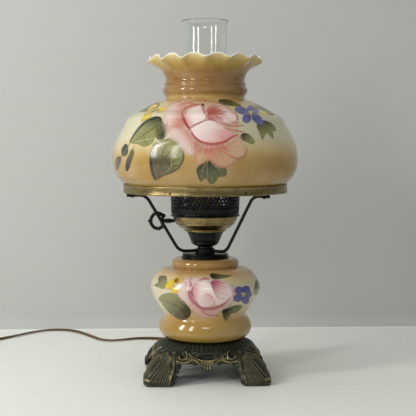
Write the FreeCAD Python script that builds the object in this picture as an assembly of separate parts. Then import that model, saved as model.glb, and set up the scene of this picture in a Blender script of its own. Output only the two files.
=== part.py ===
"""Electrified parlour lamp in the style of an oil lamp, built as separate pieces.

A square cast base carries a blown glass font. A threaded pipe clamps base, font and cap together
and carries a three-armed shade holder and a burner-shaped socket housing with a turn-key switch.
A glass chimney stands in the pierced gallery, and a wide glass shade stands in the brass ring.

Units are millimetres. +Z is up and the origin is on the table under the lamp's axis. The front
is -Y, the key points along -X, and the flexible lead leaves the back of the base along +Y.
"""
import FreeCAD
import Part
import math
import os

from FreeCAD import Vector

os.makedirs("parts", exist_ok=True)

# ---- general ---------------------------------------------------------------------------------
fit_gap = 0.1            # radial gap of pieces that slide together and stay put
glass_gap = 0.3          # gap between glass and the metal beside it
up = Vector(0, 0, 1)

# ---- base casting ----------------------------------------------------------------------------
base_half = 98.0         # half the width over the feet
base_height = 57.5       # table to the top of the casting
base_wall = 5.0
base_rim_r = 61.5        # flat top of the casting
flute_band_r = 73.0      # foot of the fluted band under the rim
flute_band_h = 8.0
toe_corner_r = 14.0      # rounding of each foot in plan
toe_boss_r = 15.0
pad_offset = 84.0        # each foot's centre from the axis, along X and Y
pad_r = 11.0
pad_thick = 1.5
arch_half = 57.0         # half the width of the arch between two feet
arch_height = 33.0
seat_recess = 2.0
seat_washer_t = 1.5
seat_margin = 3.0        # the recess is this much wider than the font's foot

# ---- threaded pipe and its nut ---------------------------------------------------------------
pipe_r = 4.85
pipe_bore_r = 3.3
pipe_below_nut = 2.5
nut_flats = 14.3
nut_thick = 4.5
washer_r = 16.0
washer_thick = 1.5

# ---- font ------------------------------------------------------------------------------------
font_height = 129.0
font_wall = 4.0
font_foot_r = 50.0
font_bead_r = 73.8       # the roll near the bottom
font_waist_r = 65.5
font_belly_r = 87.0
font_neck_r = 53.6       # the roll under the cap
font_mouth_r = 31.0

# ---- cap, hub and arms -----------------------------------------------------------------------
cap_r = 37.5
cap_height = 7.5
hub_r = 15.5
hub_height = 7.0
arm_count = 3
arm_first_angle = 76.5   # degrees from +X
arm_d = 5.0
arm_knee_r = 43.2        # where the lower level run meets the slope
arm_level_run = 32.4     # from the top of the slope to under the ring's outer face
arm_bend_r = 19.0
arm_end_short = 2.0      # how far the arm's end stops inside the ring's outer face
arm_in_hub = 6.0

# ---- shade ring ------------------------------------------------------------------------------
ring_r = 130.0
ring_height = 14.0
ring_sheet = 1.2
ring_ledge = 14.5        # width of the inward ledge that the shade stands on
ring_bottom = 289.5
tab_count = 7
tab_first_angle = -116.0
tab_slot_w = 2.2
tab_slot_h = 3.4
rivet_r = 1.5
rivet_head_r = 2.5
rivet_head_h = 1.0
rivet_from_edge = 3.5    # rivet's axis from the ledge's inner edge

# ---- burner ----------------------------------------------------------------------------------
sheet_metal = 1.2
neck_r = 12.4
cup_r = 29.0
cup_height = 28.0
bowl_foot_r = 33.0
bowl_r = 51.5
bowl_height = 24.0
gallery_r = 54.6
gallery_height = 44.5
gallery_lip_r = 55.3
gallery_hole_r = 1.7
gallery_holes = 30
gallery_rows = 2
holder_fingers = 4
holder_finger_h = 12.0

# ---- socket and switch -----------------------------------------------------------------------
socket_r = 20.0
socket_sheet = 0.7
socket_cap_h = 9.0
socket_height = 56.0
socket_sleeve = 0.8
socket_core_h = 15.0
screw_shell_r = 13.3     # inside radius, for a medium screw base
screw_shell_wall = 0.5
screw_shell_h = 26.0
contact_r = 4.0
contact_h = 1.0
socket_above_bowl_foot = 6.5   # bottom of the socket's cap above the foot of the bowl
key_above_bowl_foot = 16.0     # axis of the switch above the foot of the bowl
spindle_r = 2.5
spindle_gap = 0.06       # running clearance of the spindle in its bearing
spindle_in = 8.0         # inner end of the spindle from the lamp's axis
key_centre = 77.0        # middle of the key's loop from the lamp's axis
key_loop_r = 12.3        # to the middle of the loop's wire
key_wire_r = 2.6
key_collar_r = 4.2

# ---- chimney, bulb and shade -----------------------------------------------------------------
chimney_fitter_r = 38.1
chimney_wall = 2.0
chimney_bulge_r = 48.8
chimney_tube_r = 34.2
chimney_lip_r = 36.7
chimney_height = 304.0
bulb_r = 30.0
bulb_base_r = 13.0
bulb_base_h = 24.0
bulb_length = 108.0
bulb_glass = 0.8
shade_in_ring_gap = 1.8
shade_wall = 4.0
shade_widest_r = 146.3
shade_neck_r = 62.2
shade_neck_bead_r = 67.0
shade_rim_r = 90.5
shade_height = 212.3
shade_split_low = 75.0   # the glass is one piece, modelled as three bands that meet at these heights
shade_split_high = 147.4
rim_scallops = 15
scallop_first_angle = -91.5
scallop_r = 11.0
scallop_drop = 7.0       # depth of the dips in the rim

# ---- flexible lead ---------------------------------------------------------------------------
lead_d = 5.6             # width of the flat twin lead
inner_lead_d = 4.4       # the same lead, stripped of its twist, inside the pipe
bushing_z = 41.0
bushing_r = 4.6
bushing_bore_r = 2.9
bushing_flange_r = 7.5
bushing_flange_t = 2.5
bushing_length = 16.0
bushing_face_y = 86.0    # outer face of the bushing
coil_mid_r = 31.0
coil_width = 18.0
coil_height = 11.6
tie_thick = 0.8
tie_width = 9.0
tie_angle = 130.0
coil_centre = Vector(-425.0, 262.0, 0)
plug_length = 34.0
plug_w = 25.0
plug_t = 13.0
blade_w = 6.35
blade_t = 1.52
blade_l = 15.9
blade_gap = 12.7         # between the blades' centres

# The lead's route from the bushing to the coil, as the corners of its runs.
lead_half = lead_d / 2
lead_route = [
    (0, bushing_face_y, bushing_z), (0, 106, bushing_z), (-1, 130, 33), (-3, 156, 18), (-6, 181, 6),
    (-11, 207, lead_half), (-22, 236, lead_half), (-42, 260, lead_half), (-72, 277, lead_half),
    (-114, 285, lead_half), (-155, 262, lead_half), (-181, 268, lead_half), (-203, 308, lead_half),
    (-234, 360, lead_half), (-262, 378, lead_half), (-292, 376, lead_half), (-320, 352, lead_half),
    (-344, 320, lead_half), (-366, 291, lead_half), (-389, 267, lead_half),
]
# The end of the lead, from the coil's front into the back of the plug.
plug_back = Vector(-427.0, 166.0, 0)
tail_route = [
    (-391, 246, 5.5), (-384, 226, 4.2), (-381, 204, lead_half + 0.2), (-387, 183, lead_half + 0.3),
    (-404, 169, 5.2), (plug_back.x, plug_back.y, plug_t / 2),
]
# The lead inside the lamp: through the bushing, under the nut and up the pipe.
inner_route = [
    (0, bushing_face_y, bushing_z), (0, 62, 40), (0, 30, 29), (0, 0, 30), (0, 0, 62), (0, 0.1, 110),
    (0, 0, 160), (0, 0.1, 205), (0, 0, 238),
]

# ---- places worked out from the sizes above -------------------------------------------------
shade_fitter_r = ring_r - ring_sheet - shade_in_ring_gap
arm_rise_r = ring_r - arm_level_run      # where the slope meets the upper level run
coil_floor = tie_thick
seat_z = base_height - seat_recess
font_z = seat_z + seat_washer_t
font_top = font_z + font_height
cap_top = font_top + cap_height
hub_top = cap_top + hub_height
arm_low_z = cap_top + hub_height / 2 + 0.5
arm_high_z = ring_bottom - arm_d / 2
ring_floor = ring_bottom + ring_sheet
cup_top = hub_top + cup_height
bowl_top = cup_top + bowl_height
gallery_top = bowl_top + gallery_height
holder_floor = bowl_top + 2 * sheet_metal
socket_z = cup_top + socket_above_bowl_foot
socket_top = socket_z + socket_height
core_top = socket_z + socket_cap_h + socket_core_h
key_z = cup_top + key_above_bowl_foot
platform_bottom = base_height - base_wall - 1.0
nut_top = platform_bottom - washer_thick
pipe_bottom = nut_top - nut_thick - pipe_below_nut
pipe_top = socket_z + 4.0
bulb_z = core_top + contact_h
chimney_z = holder_floor
shade_z = ring_floor


# ---- helpers ---------------------------------------------------------------------------------
def at(radius, z):
    return Vector(radius, 0, z)


def offset_inward(points, wall):
    """The profile moved to its left by the wall, which is towards the axis on the way up."""
    moved = []
    for i, (r, z) in enumerate(points):
        before = points[max(i - 1, 0)]
        after = points[min(i + 1, len(points) - 1)]
        dr, dz = after[0] - before[0], after[1] - before[1]
        long = math.hypot(dr, dz)
        moved.append((r - wall * dz / long, z + wall * dr / long))
    return moved


def curve_through(points):
    curve = Part.BSplineCurve()
    curve.interpolate([at(*p) for p in points])
    return curve.toShape()


def line_through(points):
    return [Part.makeLine(at(*a), at(*b)) for a, b in zip(points, points[1:])]


def turned(edges):
    """The solid that a closed profile in the XZ plane sweeps round the lamp's axis."""
    wire = Part.Wire(Part.__sortEdges__(edges))
    return Part.Face(wire).revolve(Vector(0, 0, 0), up, 360)


def turned_polygon(points):
    return turned(line_through(points + points[:1]))


def turned_shell(outer, wall, inner_ends=None):
    """A shell of revolution with a smooth outer profile, listed upwards, and an even wall."""
    inner = offset_inward(outer, wall)
    if inner_ends:
        inner[0], inner[-1] = inner_ends
    ends = [Part.makeLine(at(*outer[0]), at(*inner[0])), Part.makeLine(at(*outer[-1]), at(*inner[-1]))]
    return turned([curve_through(outer), curve_through(inner)] + ends)


def tube(r_out, r_in, z0, z1):
    ring = Part.makeCylinder(r_out, z1 - z0, at(0, z0))
    return ring.cut(Part.makeCylinder(r_in, z1 - z0, at(0, z0)))


def rod(start, end, radius):
    along = end - start
    return Part.makeCylinder(radius, along.Length, start, along)


def spun(shape, degrees):
    copy = shape.copy()
    copy.rotate(Vector(0, 0, 0), up, degrees)
    return copy


def around(shape, count, first=0.0):
    return [spun(shape, first + 360.0 * i / count) for i in range(count)]


def box(x0, x1, y0, y1, z0, z1):
    return Part.makeBox(x1 - x0, y1 - y0, z1 - z0, Vector(x0, y0, z0))


def rounded_path(points, reach=0.45, radius=None):
    """Straight runs joined by tangent arcs: the wire, and the radius at each inner corner."""
    corners = [Vector(*p) for p in points]
    edges, radii, start = [], [], corners[0]
    for before, corner, after in zip(corners, corners[1:], corners[2:]):
        into, out = (corner - before), (after - corner)
        half_turn = into.getAngle(out) / 2
        shorter = min(into.Length, out.Length)
        bend = radius or reach * shorter / math.tan(half_turn)
        back = bend * math.tan(half_turn)
        into.normalize()
        out.normalize()
        first, last = corner - into * back, corner + out * back
        inward = (out - into)
        inward.normalize()
        middle = corner + inward * (bend / math.cos(half_turn) - bend)
        edges.append(Part.LineSegment(start, first).toShape())
        edges.append(Part.Arc(first, middle, last).toShape())
        radii.append(bend)
        start = last
    edges.append(Part.LineSegment(start, corners[-1]).toShape())
    return Part.Wire(edges), radii


def swept_round(wire, radius):
    """A round tube along a wire, from the wire's first point."""
    first = wire.OrderedEdges[0]
    start = first.valueAt(first.FirstParameter)
    direction = first.tangentAt(first.FirstParameter)
    section = Part.Wire(Part.makeCircle(radius, start, direction))
    return wire.makePipeShell([section], True, False)


def describe_tube(name, solid, wire, radii, diameter):
    expected = math.pi * diameter ** 2 / 4 * wire.Length
    print(f"{name}: {wire.Length:.0f} mm long, volume {solid.Volume / expected:.4f} of section times length")
    print(f"{name}: bend radii {', '.join(f'{r:.0f}' for r in radii)}")


# ---- base ------------------------------------------------------------------------------------
def bell_profile(inset=0.0):
    """The casting's outer surface from its rim to the toes; inset gives the inner surface."""
    rim_edge = (base_rim_r, base_height)
    outline = [
        rim_edge,
        (flute_band_r, base_height - flute_band_h),
        (flute_band_r + 5, base_height - flute_band_h - 5.5),
        (flute_band_r + 11, arch_height + 3),
        (flute_band_r + 21, arch_height - 6),
        (flute_band_r + 35, arch_height - 12),
        (flute_band_r + 49, 15.0),
        (flute_band_r + 61, 8.0),
        (base_half * math.sqrt(2) + 2, pad_thick),
    ]
    if not inset:
        return outline
    inner = [(r, z) for r, z in offset_inward(outline[::-1], inset)[::-1]]
    return inner


def base_casting():
    outline = bell_profile()
    outer = turned_polygon([(0, pad_thick)] + outline[::-1] + [(0, base_height)])
    inner_outline = [(r, z) for r, z in bell_profile(base_wall)[1:-1]]
    foot = (inner_outline[-1][0] + 8, pad_thick - 1)
    crown = [(base_rim_r - base_wall / 2, platform_bottom), (0, platform_bottom)]
    inner = turned_polygon([(0, pad_thick - 1), foot] + inner_outline[::-1] + crown)
    shell = outer.cut(inner)
    plan = box(-base_half, base_half, -base_half, base_half, 0, base_height)
    corners = [e for e in plan.Edges if abs(e.Vertexes[0].Z - e.Vertexes[1].Z) > 1]
    plan = plan.makeFillet(toe_corner_r, corners)
    bosses = [
        Part.makeCylinder(toe_boss_r, 12, Vector(x * pad_offset, y * pad_offset, pad_thick))
        for x in (-1, 1)
        for y in (-1, 1)
    ]
    bosses = [b.common(outer) for b in bosses]
    shell = shell.fuse(bosses).common(plan)
    shell = shell.cut([spun(arch_cutter(), a) for a in (0, 90)])
    recess = Part.makeCylinder(font_foot_r + seat_margin, seat_recess + 1, at(0, seat_z))
    bore = Part.makeCylinder(pipe_r + fit_gap, base_height, at(0, 10))
    lead_hole = rod(Vector(0, 60, bushing_z), Vector(0, 100, bushing_z), bushing_r + fit_gap)
    spot_face = rod(Vector(0, bushing_face_y - bushing_flange_t, bushing_z), Vector(0, 100, bushing_z),
                    bushing_flange_r + fit_gap)
    return shell.cut([recess, bore, lead_hole, spot_face]).removeSplitter()


def arch_cutter():
    """The opening under two opposite aprons, cut through along Y."""
    shoulder = arch_half - 9
    rise = arch_height - 14
    left = [Vector(-arch_half, 0, -1), Vector(-shoulder - 3, 0, rise)]
    corner = Part.Arc(left[1], Vector(-shoulder + 3, 0, arch_height - 4.5),
                      Vector(-shoulder + 14, 0, arch_height)).toShape()
    right_corner = corner.mirror(Vector(0, 0, 0), Vector(1, 0, 0))
    right = [Vector(-p.x, 0, p.z) for p in left]
    edges = [
        Part.makeLine(left[0], left[1]), corner,
        Part.makeLine(Vector(-shoulder + 14, 0, arch_height), Vector(shoulder - 14, 0, arch_height)),
        right_corner, Part.makeLine(right[1], right[0]), Part.makeLine(right[0], left[0]),
    ]
    face = Part.Face(Part.Wire(Part.__sortEdges__(edges)))
    face.translate(Vector(0, -150, 0))
    return face.extrude(Vector(0, 300, 0))


def felt_pads():
    pad = Part.makeCylinder(pad_r, pad_thick, Vector(pad_offset, pad_offset, 0))
    return Part.makeCompound(around(pad, 4))


def seat_washer():
    return tube(font_foot_r, pipe_r + 6, seat_z, font_z)


def base_washer():
    return tube(washer_r, pipe_r + fit_gap, nut_top, platform_bottom)


def base_nut():
    corner_r = nut_flats / math.sqrt(3)
    corners = [Vector(corner_r * math.cos(math.radians(60 * i)), corner_r * math.sin(math.radians(60 * i)),
                      nut_top - nut_thick) for i in range(7)]
    hexagon = Part.Face(Part.makePolygon(corners)).extrude(up * nut_thick)
    return hexagon.cut(Part.makeCylinder(pipe_r + fit_gap, nut_thick, at(0, nut_top - nut_thick)))


def pipe():
    return tube(pipe_r, pipe_bore_r, pipe_bottom, pipe_top)


# ---- font and its cap ------------------------------------------------------------------------
def font_profile():
    """The font's outer profile as (radius, height above its foot), from its foot to its top."""
    bead, waist, belly, neck = font_bead_r, font_waist_r, font_belly_r, font_neck_r
    return {
        "foot": [(font_foot_r, 0.0), (font_foot_r + 7, 1.6), (bead - 7.6, 5.4), (bead - 2.2, 11.0), (bead, 17.2),
                 (bead - 1.6, 24.0), (bead - 5.0, 31.0), (waist + 0.6, 36.0), (waist, 39.0)],
        "belly": [(waist, 39.0), (waist + 1.4, 42.5), (waist + 6.0, 50.5), (waist + 12.0, 60.0),
                  (belly - 3.8, 70.2), (belly - 0.6, 79.5), (belly, 84.5), (belly - 0.9, 89.5),
                  (belly - 3.8, 96.0), (belly - 8.0, 102.5), (belly - 14.0, 108.8), (neck + 12.0, 112.6),
                  (neck + 3.6, 114.8), (neck - 1.6, 115.6)],
        "neck": [(neck - 1.6, 115.6), (neck - 0.3, 118.0), (neck, 121.0), (neck - 1.0, 124.6),
                 (neck - 4.2, 127.6), (neck - 8.0, 129.0)],
    }


def font():
    parts = font_profile()
    scale = font_height / 129.0
    outer = [[(r, font_z + z * scale) for r, z in parts[k]] for k in ("foot", "belly", "neck")]
    whole = outer[0] + outer[1][1:] + outer[2][1:]
    inner = offset_inward(whole, font_wall)[2:-3]
    floor_z, roof_z = font_z + font_wall, font_top - font_wall
    inner = [(inner[0][0], floor_z + 0.4)] + inner[1:] + [(font_neck_r - 10, roof_z)]
    edges = [curve_through(part) for part in outer]
    edges += [curve_through(inner)]
    edges += line_through([outer[-1][-1], (font_mouth_r, font_top), (font_mouth_r, roof_z), inner[-1]])
    hole = pipe_r + 2
    edges += line_through([outer[0][0], (hole, font_z), (hole, floor_z), (inner[0][0] - 3, floor_z), inner[0]])
    return turned(edges)


def font_cap():
    skirt = font_mouth_r - 1.0
    groove = cap_r - 1.6
    return turned_polygon([
        (pipe_r + fit_gap, cap_top - 2), (pipe_r + fit_gap, cap_top), (cap_r - 3, cap_top), (cap_r - 1, cap_top - 1),
        (cap_r - 1, cap_top - 2.6), (groove, cap_top - 3.2), (groove, cap_top - 3.8), (cap_r, cap_top - 4.4),
        (cap_r, font_top), (cap_r - 3, font_top), (cap_r - 3, cap_top - 3.4), (skirt, cap_top - 3.4),
        (skirt, font_top - 6), (skirt - sheet_metal, font_top - 6), (skirt - sheet_metal, cap_top - 2),
    ])


# ---- shade holder ----------------------------------------------------------------------------
def arm_hub():
    hub = tube(hub_r, pipe_r + fit_gap, cap_top, hub_top)
    socket_r_ = arm_d / 2 + 0.05
    hole = rod(Vector(hub_r - arm_in_hub - 0.2, 0, arm_low_z), Vector(hub_r + 5, 0, arm_low_z), socket_r_)
    return hub.cut(around(hole, arm_count, arm_first_angle))


def shade_arm():
    """One arm along +X: level out of the hub, up a slope, then level under the ring."""
    corners = [
        (hub_r - arm_in_hub, 0, arm_low_z), (arm_knee_r, 0, arm_low_z), (arm_rise_r, 0, arm_high_z),
        (ring_r - arm_end_short, 0, arm_high_z),
    ]
    wire, _ = rounded_path(corners, radius=arm_bend_r)
    arm = swept_round(wire, arm_d / 2)
    hole = Part.makeCylinder(rivet_r + fit_gap / 2, 3 * arm_d, at(rivet_place(), arm_high_z - 1.5 * arm_d))
    return arm.cut(hole)


def rivet_place():
    return ring_r - ring_ledge + rivet_from_edge


def arm_rivets():
    x = rivet_place()
    foot = arm_high_z - arm_d / 2
    shank = Part.makeCylinder(rivet_r, ring_floor - foot + rivet_head_h, at(x, foot))
    heads = [Part.makeCylinder(rivet_head_r, rivet_head_h, at(x, z)) for z in (foot - rivet_head_h, ring_floor)]
    rivet = shank.fuse(heads).removeSplitter()
    return Part.makeCompound(around(rivet, arm_count, arm_first_angle))


def shade_ring():
    band = tube(ring_r, ring_r - ring_sheet, ring_bottom, ring_bottom + ring_height)
    ledge = tube(ring_r - ring_sheet / 2, ring_r - ring_ledge, ring_bottom, ring_floor)
    slot = box(ring_r - 2 * ring_sheet, ring_r + 1, -tab_slot_w / 2, tab_slot_w / 2,
               ring_floor + 1.2, ring_floor + 1.2 + tab_slot_h)
    hole = Part.makeCylinder(rivet_r + fit_gap / 2, 4, at(rivet_place(), ring_bottom - 1))
    cutters = around(slot, tab_count, tab_first_angle) + around(hole, arm_count, arm_first_angle)
    return band.fuse(ledge).cut(cutters).removeSplitter()


# ---- burner ----------------------------------------------------------------------------------
def burner_cup():
    z = hub_top
    outer = [(neck_r, z), (neck_r, z + 2.5), (neck_r + 2.6, z + 4.4), (cup_r - 8.5, z + 7.5), (cup_r - 6.5, z + 9),
             (cup_r - 6.5, z + 11.2), (cup_r - 4.8, z + 12.4), (cup_r - 2.2, z + 20.5), (cup_r, cup_top)]
    inner = [(r - sheet_metal, zz + 0.5) for r, zz in outer[1:-1]] + [(cup_r - sheet_metal, cup_top)]
    hole = pipe_r + fit_gap
    return turned_polygon(outer + inner[::-1] + [(neck_r - sheet_metal, z + 1.5), (hole, z + 1.5), (hole, z)])


def burner_bowl():
    z = cup_top
    curve = [(bowl_foot_r - 1.0, z + 2.6), (bowl_foot_r + 4.5, z + 5.0), (bowl_r - 6.6, z + 11.2),
             (bowl_r - 2.0, z + 17.4), (bowl_r, z + bowl_height)]
    inner = offset_inward(curve, sheet_metal)
    inner[-1] = (bowl_r - sheet_metal, z + bowl_height)
    foot_in = cup_r - 4
    edges = [curve_through(curve), curve_through(inner)]
    edges += line_through([curve[0], (bowl_foot_r, z + 1.8), (bowl_foot_r, z), (foot_in, z), (foot_in, z + sheet_metal),
                           (inner[0][0] - 1.2, z + sheet_metal), inner[0]])
    edges += line_through([curve[-1], inner[-1]])
    bowl = turned(edges)
    key_hole = rod(Vector(-bowl_r - 5, 0, key_z), Vector(-bowl_foot_r, 0, key_z), spindle_r + 1.0)
    return bowl.cut(key_hole)


def gallery():
    z, top = bowl_top, gallery_top
    foot_r = gallery_r - 1.6
    wall = turned_polygon([
        (foot_r, z), (gallery_lip_r, z), (gallery_lip_r, z + 2), (foot_r, z + 3), (gallery_r, top),
        (gallery_r - sheet_metal, top), (foot_r - sheet_metal, z + 3), (foot_r - sheet_metal, z + sheet_metal),
        (chimney_fitter_r - 1, z + sheet_metal), (chimney_fitter_r - 1, z), (foot_r, z),
    ][:-1])
    holes = []
    for row in range(gallery_rows):
        level = z + gallery_height * (0.42 + 0.25 * row)
        hole = rod(Vector(foot_r - 4, 0, level), Vector(gallery_r + 3, 0, level), gallery_hole_r)
        holes += around(hole, gallery_holes, 180.0 / gallery_holes * row)
    return wall.cut(holes)


def chimney_holder():
    """The seat inside the gallery: a floor, a low ring inside the glass and spring fingers outside."""
    z = holder_floor
    inside = chimney_fitter_r - chimney_wall - glass_gap
    outside = chimney_fitter_r + glass_gap
    floor = tube(outside + sheet_metal, socket_r + 1, z - sheet_metal, z)
    ring = tube(inside, inside - sheet_metal, z - sheet_metal / 2, z + 8)
    fingers = tube(outside + sheet_metal, outside, z - sheet_metal / 2, z + holder_finger_h)
    window = box(0, outside + 5, -0.5, 0.5, z, z + 20)
    wedge = spun(box(-60, 60, 0, 60, z, z + 20), 0).common(spun(box(-60, 60, -60, 0, z, z + 20), 70))
    fingers = fingers.cut([spun(wedge, 90 * i) for i in range(holder_fingers)] + around(window, holder_fingers))
    return floor.fuse([ring, fingers]).removeSplitter()


# ---- socket and switch -----------------------------------------------------------------------
def spindle_hole(radius, reach):
    return rod(Vector(-reach, 0, key_z), Vector(-spindle_in, 0, key_z), radius)


def socket_cap():
    z, r = socket_z, socket_r + socket_sheet + fit_gap
    hole = pipe_r + fit_gap
    cap = turned_polygon([
        (hole, z), (8.5, z), (8.5, z + 2.5), (r - 5, z + 3), (r, z + 6.5), (r, z + socket_cap_h),
        (r - socket_sheet, z + socket_cap_h), (r - socket_sheet, z + 6.8), (r - 5.4, z + 4), (hole, z + 4),
    ])
    return cap.cut(spindle_hole(spindle_r + 0.7, 30))


def socket_shell():
    shell = tube(socket_r, socket_r - socket_sheet, socket_z + 6.9, socket_top)
    return shell.cut(spindle_hole(spindle_r + 0.7, 30))


def socket_sleeve_ring():
    r = socket_r - socket_sheet - fit_gap
    sleeve = tube(r, r - socket_sleeve, socket_z + 7.2, socket_top + 1)
    return sleeve.cut(spindle_hole(spindle_r + 0.7, 30))


def socket_core():
    r = socket_r - socket_sheet - socket_sleeve - 3 * fit_gap
    core = Part.makeCylinder(r, core_top - socket_z - 7.2, at(0, socket_z + 7.2))
    bearing = spindle_hole(spindle_r + spindle_gap, r + 1)
    return core.cut(bearing)


def screw_shell():
    r = screw_shell_r + screw_shell_wall
    shell = tube(r, screw_shell_r, core_top, core_top + screw_shell_h)
    lip = tube(r + 1.6, screw_shell_r, core_top + screw_shell_h - 0.6, core_top + screw_shell_h)
    return shell.fuse(lip).removeSplitter()


def centre_contact():
    return Part.makeCylinder(contact_r, contact_h, at(0, core_top))


def switch_spindle():
    return rod(Vector(-spindle_in - 0.3, 0, key_z), Vector(-(bowl_r + 5), 0, key_z), spindle_r)


def switch_key():
    """A wire loop on a turned stem, pushed on the end of the spindle."""
    stem_end = -(bowl_r + 5)
    stem = rod(Vector(stem_end, 0, key_z), Vector(-(key_centre - key_loop_r), 0, key_z), key_wire_r)
    collars = [
        rod(Vector(x, 0, key_z), Vector(x - 1.6, 0, key_z), key_collar_r) for x in (stem_end, stem_end - 3.4)
    ]
    loop = Part.makeTorus(key_loop_r, key_wire_r, Vector(-key_centre, 0, key_z), Vector(0, 1, 0))
    tip = Part.makeSphere(2.4, Vector(-key_centre - key_loop_r - key_wire_r + 0.4, 0, key_z))
    return stem.fuse(collars + [loop, tip]).removeSplitter()


# ---- glass -----------------------------------------------------------------------------------
def chimney():
    f, b, t = chimney_fitter_r, chimney_bulge_r, chimney_tube_r
    z, k = chimney_z, chimney_height / 304.0
    profile = [
        (f, 0), (f, 14), (f, 27), (f + 2.2, 37), (f + 7.2, 53), (b - 0.5, 70), (b, 84), (b - 1.8, 102),
        (b - 6.5, 126), (t + 3.4, 150), (t + 0.8, 170), (t, 190), (t, 230), (t, 270), (t + 0.1, 290),
        (t + 0.9, 298.5), (chimney_lip_r, 304),
    ]
    profile = [(r, z + h * k) for r, h in profile]
    ends = ((f - chimney_wall, z), (chimney_lip_r - chimney_wall, z + chimney_height))
    return turned_shell(profile, chimney_wall, ends)


def bulb_glass_envelope():
    """The glass of an A-shape lamp, from its neck in the screw base to its crown."""
    z, top, r = bulb_z + bulb_base_h - 1, bulb_z + bulb_length, bulb_r
    neck = bulb_base_r - 1.2
    outer = [(neck, z), (neck + 0.6, z + 8), (neck + 5.0, z + 21), (r - 4.5, z + 34), (r, z + 51), (r - 3.4, z + 66),
             (r - 11.0, top - 6.2), (r - 20, top - 1.0), (0.0, top)]
    outer = outer[:-2] + [(r - 20.5, top - 1.4), (4.0, top - 0.1)]
    inner = offset_inward(outer, bulb_glass)
    inner[0] = (neck - bulb_glass, z)
    inner[-1] = (4.0, top - 0.1 - bulb_glass)
    edges = [curve_through(outer), curve_through(inner), Part.makeLine(at(*outer[0]), at(*inner[0]))]
    edges += line_through([outer[-1], (0, outer[-1][1]), (0, inner[-1][1]), inner[-1]])
    return turned(edges)


def bulb_screw_base():
    z, r = bulb_z, bulb_base_r
    return turned_polygon([
        (0, z + 2.0), (contact_r, z + 2.0), (contact_r + 4, z + 4.5), (r - 0.8, z + 7.0), (r, z + 7.0),
        (r, z + bulb_base_h), (r - 0.9, z + bulb_base_h), (r - 0.9, z + 8.5), (0, z + 8.5),
    ])


def bulb_contact():
    return Part.makeCylinder(contact_r - 0.6, 2.0, at(0, bulb_z))


def shade_glass():
    f, w, n = shade_fitter_r, shade_widest_r, shade_neck_r
    bead, rim = shade_neck_bead_r, shade_rim_r
    z, k = shade_z, shade_height / 212.3
    dome = [
        (f, 10.5), (f + 1.2, 13.6), (f + 6.6, 18.4), (w - 7.3, 24.8), (w - 3.8, 31.1), (w - 1.1, 39.5), (w, 49.5),
        (w - 0.5, 59.5), (w - 2.4, 71.5), (w - 6.2, 81.0), (w - 11.0, 91.0), (w - 17.4, 102.5), (w - 23.8, 115.0),
        (w - 32.0, 121.5), (w - 42.2, 126.2), (w - 51.0, 131.4), (w - 63.5, 138.0), (w - 71.0, 141.3), (n + 4.2, 144.6),
        (n, 147.4),
    ]
    neck = [
        (n, 147.4), (n + 1.1, 151.2), (bead - 1.5, 154.2), (bead, 158.6), (bead - 1.0, 163.4), (n + 1.6, 168.0),
        (n, 173.6), (n + 1.4, 181.0), (n + 6.4, 188.8), (n + 12.6, 194.8), (n + 19.5, 200.4), (rim - 2.5, 207.0),
        (rim, 212.3),
    ]
    dome, neck = ([(r, z + h * k) for r, h in part] for part in (dome, neck))
    whole = dome + neck[1:]
    inner = offset_inward(whole, shade_wall)
    inner[0] = (f - shade_wall, dome[0][1])
    inner[-1] = (rim - shade_wall, neck[-1][1])
    edges = [curve_through(dome), curve_through(neck), curve_through(inner)]
    edges += line_through([inner[0], (f - shade_wall, z), (f, z), dome[0]])
    edges += line_through([neck[-1], inner[-1]])
    return turned(edges)


def shade_band(low, high):
    """The part of the shade between two heights above its foot."""
    reach = shade_widest_r + 10
    return shade_glass().common(Part.makeCylinder(reach, high - low, at(0, shade_z + low)))


def shade_lower():
    return shade_band(0, shade_split_low)


def shade_upper():
    return shade_band(shade_split_low, shade_split_high)


def shade_neck():
    neck = shade_band(shade_split_high, shade_height)
    dip_z = shade_z + shade_height + scallop_r - scallop_drop
    dip = rod(Vector(shade_neck_r - 10, 0, dip_z), Vector(shade_rim_r + 10, 0, dip_z), scallop_r)
    return neck.cut(around(dip, rim_scallops, scallop_first_angle))


# ---- flexible lead ---------------------------------------------------------------------------
def lead_bushing():
    face = Vector(0, bushing_face_y, bushing_z)
    back = Vector(0, -1, 0)
    body = Part.makeCylinder(bushing_r, bushing_length, face, back)
    flange = Part.makeCylinder(bushing_flange_r, bushing_flange_t, face, back)
    bore = Part.makeCylinder(bushing_bore_r, bushing_length, face, back)
    return body.fuse(flange).cut(bore).removeSplitter()


def inner_lead():
    wire, radii = rounded_path(inner_route)
    solid = swept_round(wire, inner_lead_d / 2)
    describe_tube("inner_lead", solid, wire, radii, inner_lead_d)
    return solid


def lead():
    wire, radii = rounded_path(lead_route)
    solid = swept_round(wire, lead_half)
    describe_tube("lead", solid, wire, radii, lead_d)
    return solid


def lead_coil():
    r_out, r_in = coil_mid_r + coil_width / 2, coil_mid_r - coil_width / 2
    ring = tube(r_out, r_in, coil_floor, coil_floor + coil_height)
    ring = ring.makeFillet(coil_height * 0.3, [e for e in ring.Edges if e.Curve.TypeId == "Part::GeomCircle"])
    ring.translate(coil_centre)
    return ring


def coil_tie():
    """A strap round the coil's section, lying under it."""
    half, t = coil_width / 2 + fit_gap, tie_thick
    outside = box(coil_mid_r - half - t, coil_mid_r + half + t, -tie_width / 2, tie_width / 2,
                  0, coil_floor + coil_height + fit_gap + t)
    ring = tube(coil_mid_r + half, coil_mid_r - half, coil_floor, coil_floor + coil_height + fit_gap)
    tie = spun(outside.cut(ring), tie_angle)
    tie.translate(coil_centre)
    return tie


def plug_body():
    body = box(-plug_length, 0, -plug_w / 2, plug_w / 2, 0, plug_t)
    body = body.makeFillet(3.0, [e for e in body.Edges if e.BoundBox.XLength > plug_length - 1])
    body.translate(plug_back)
    return body


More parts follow.
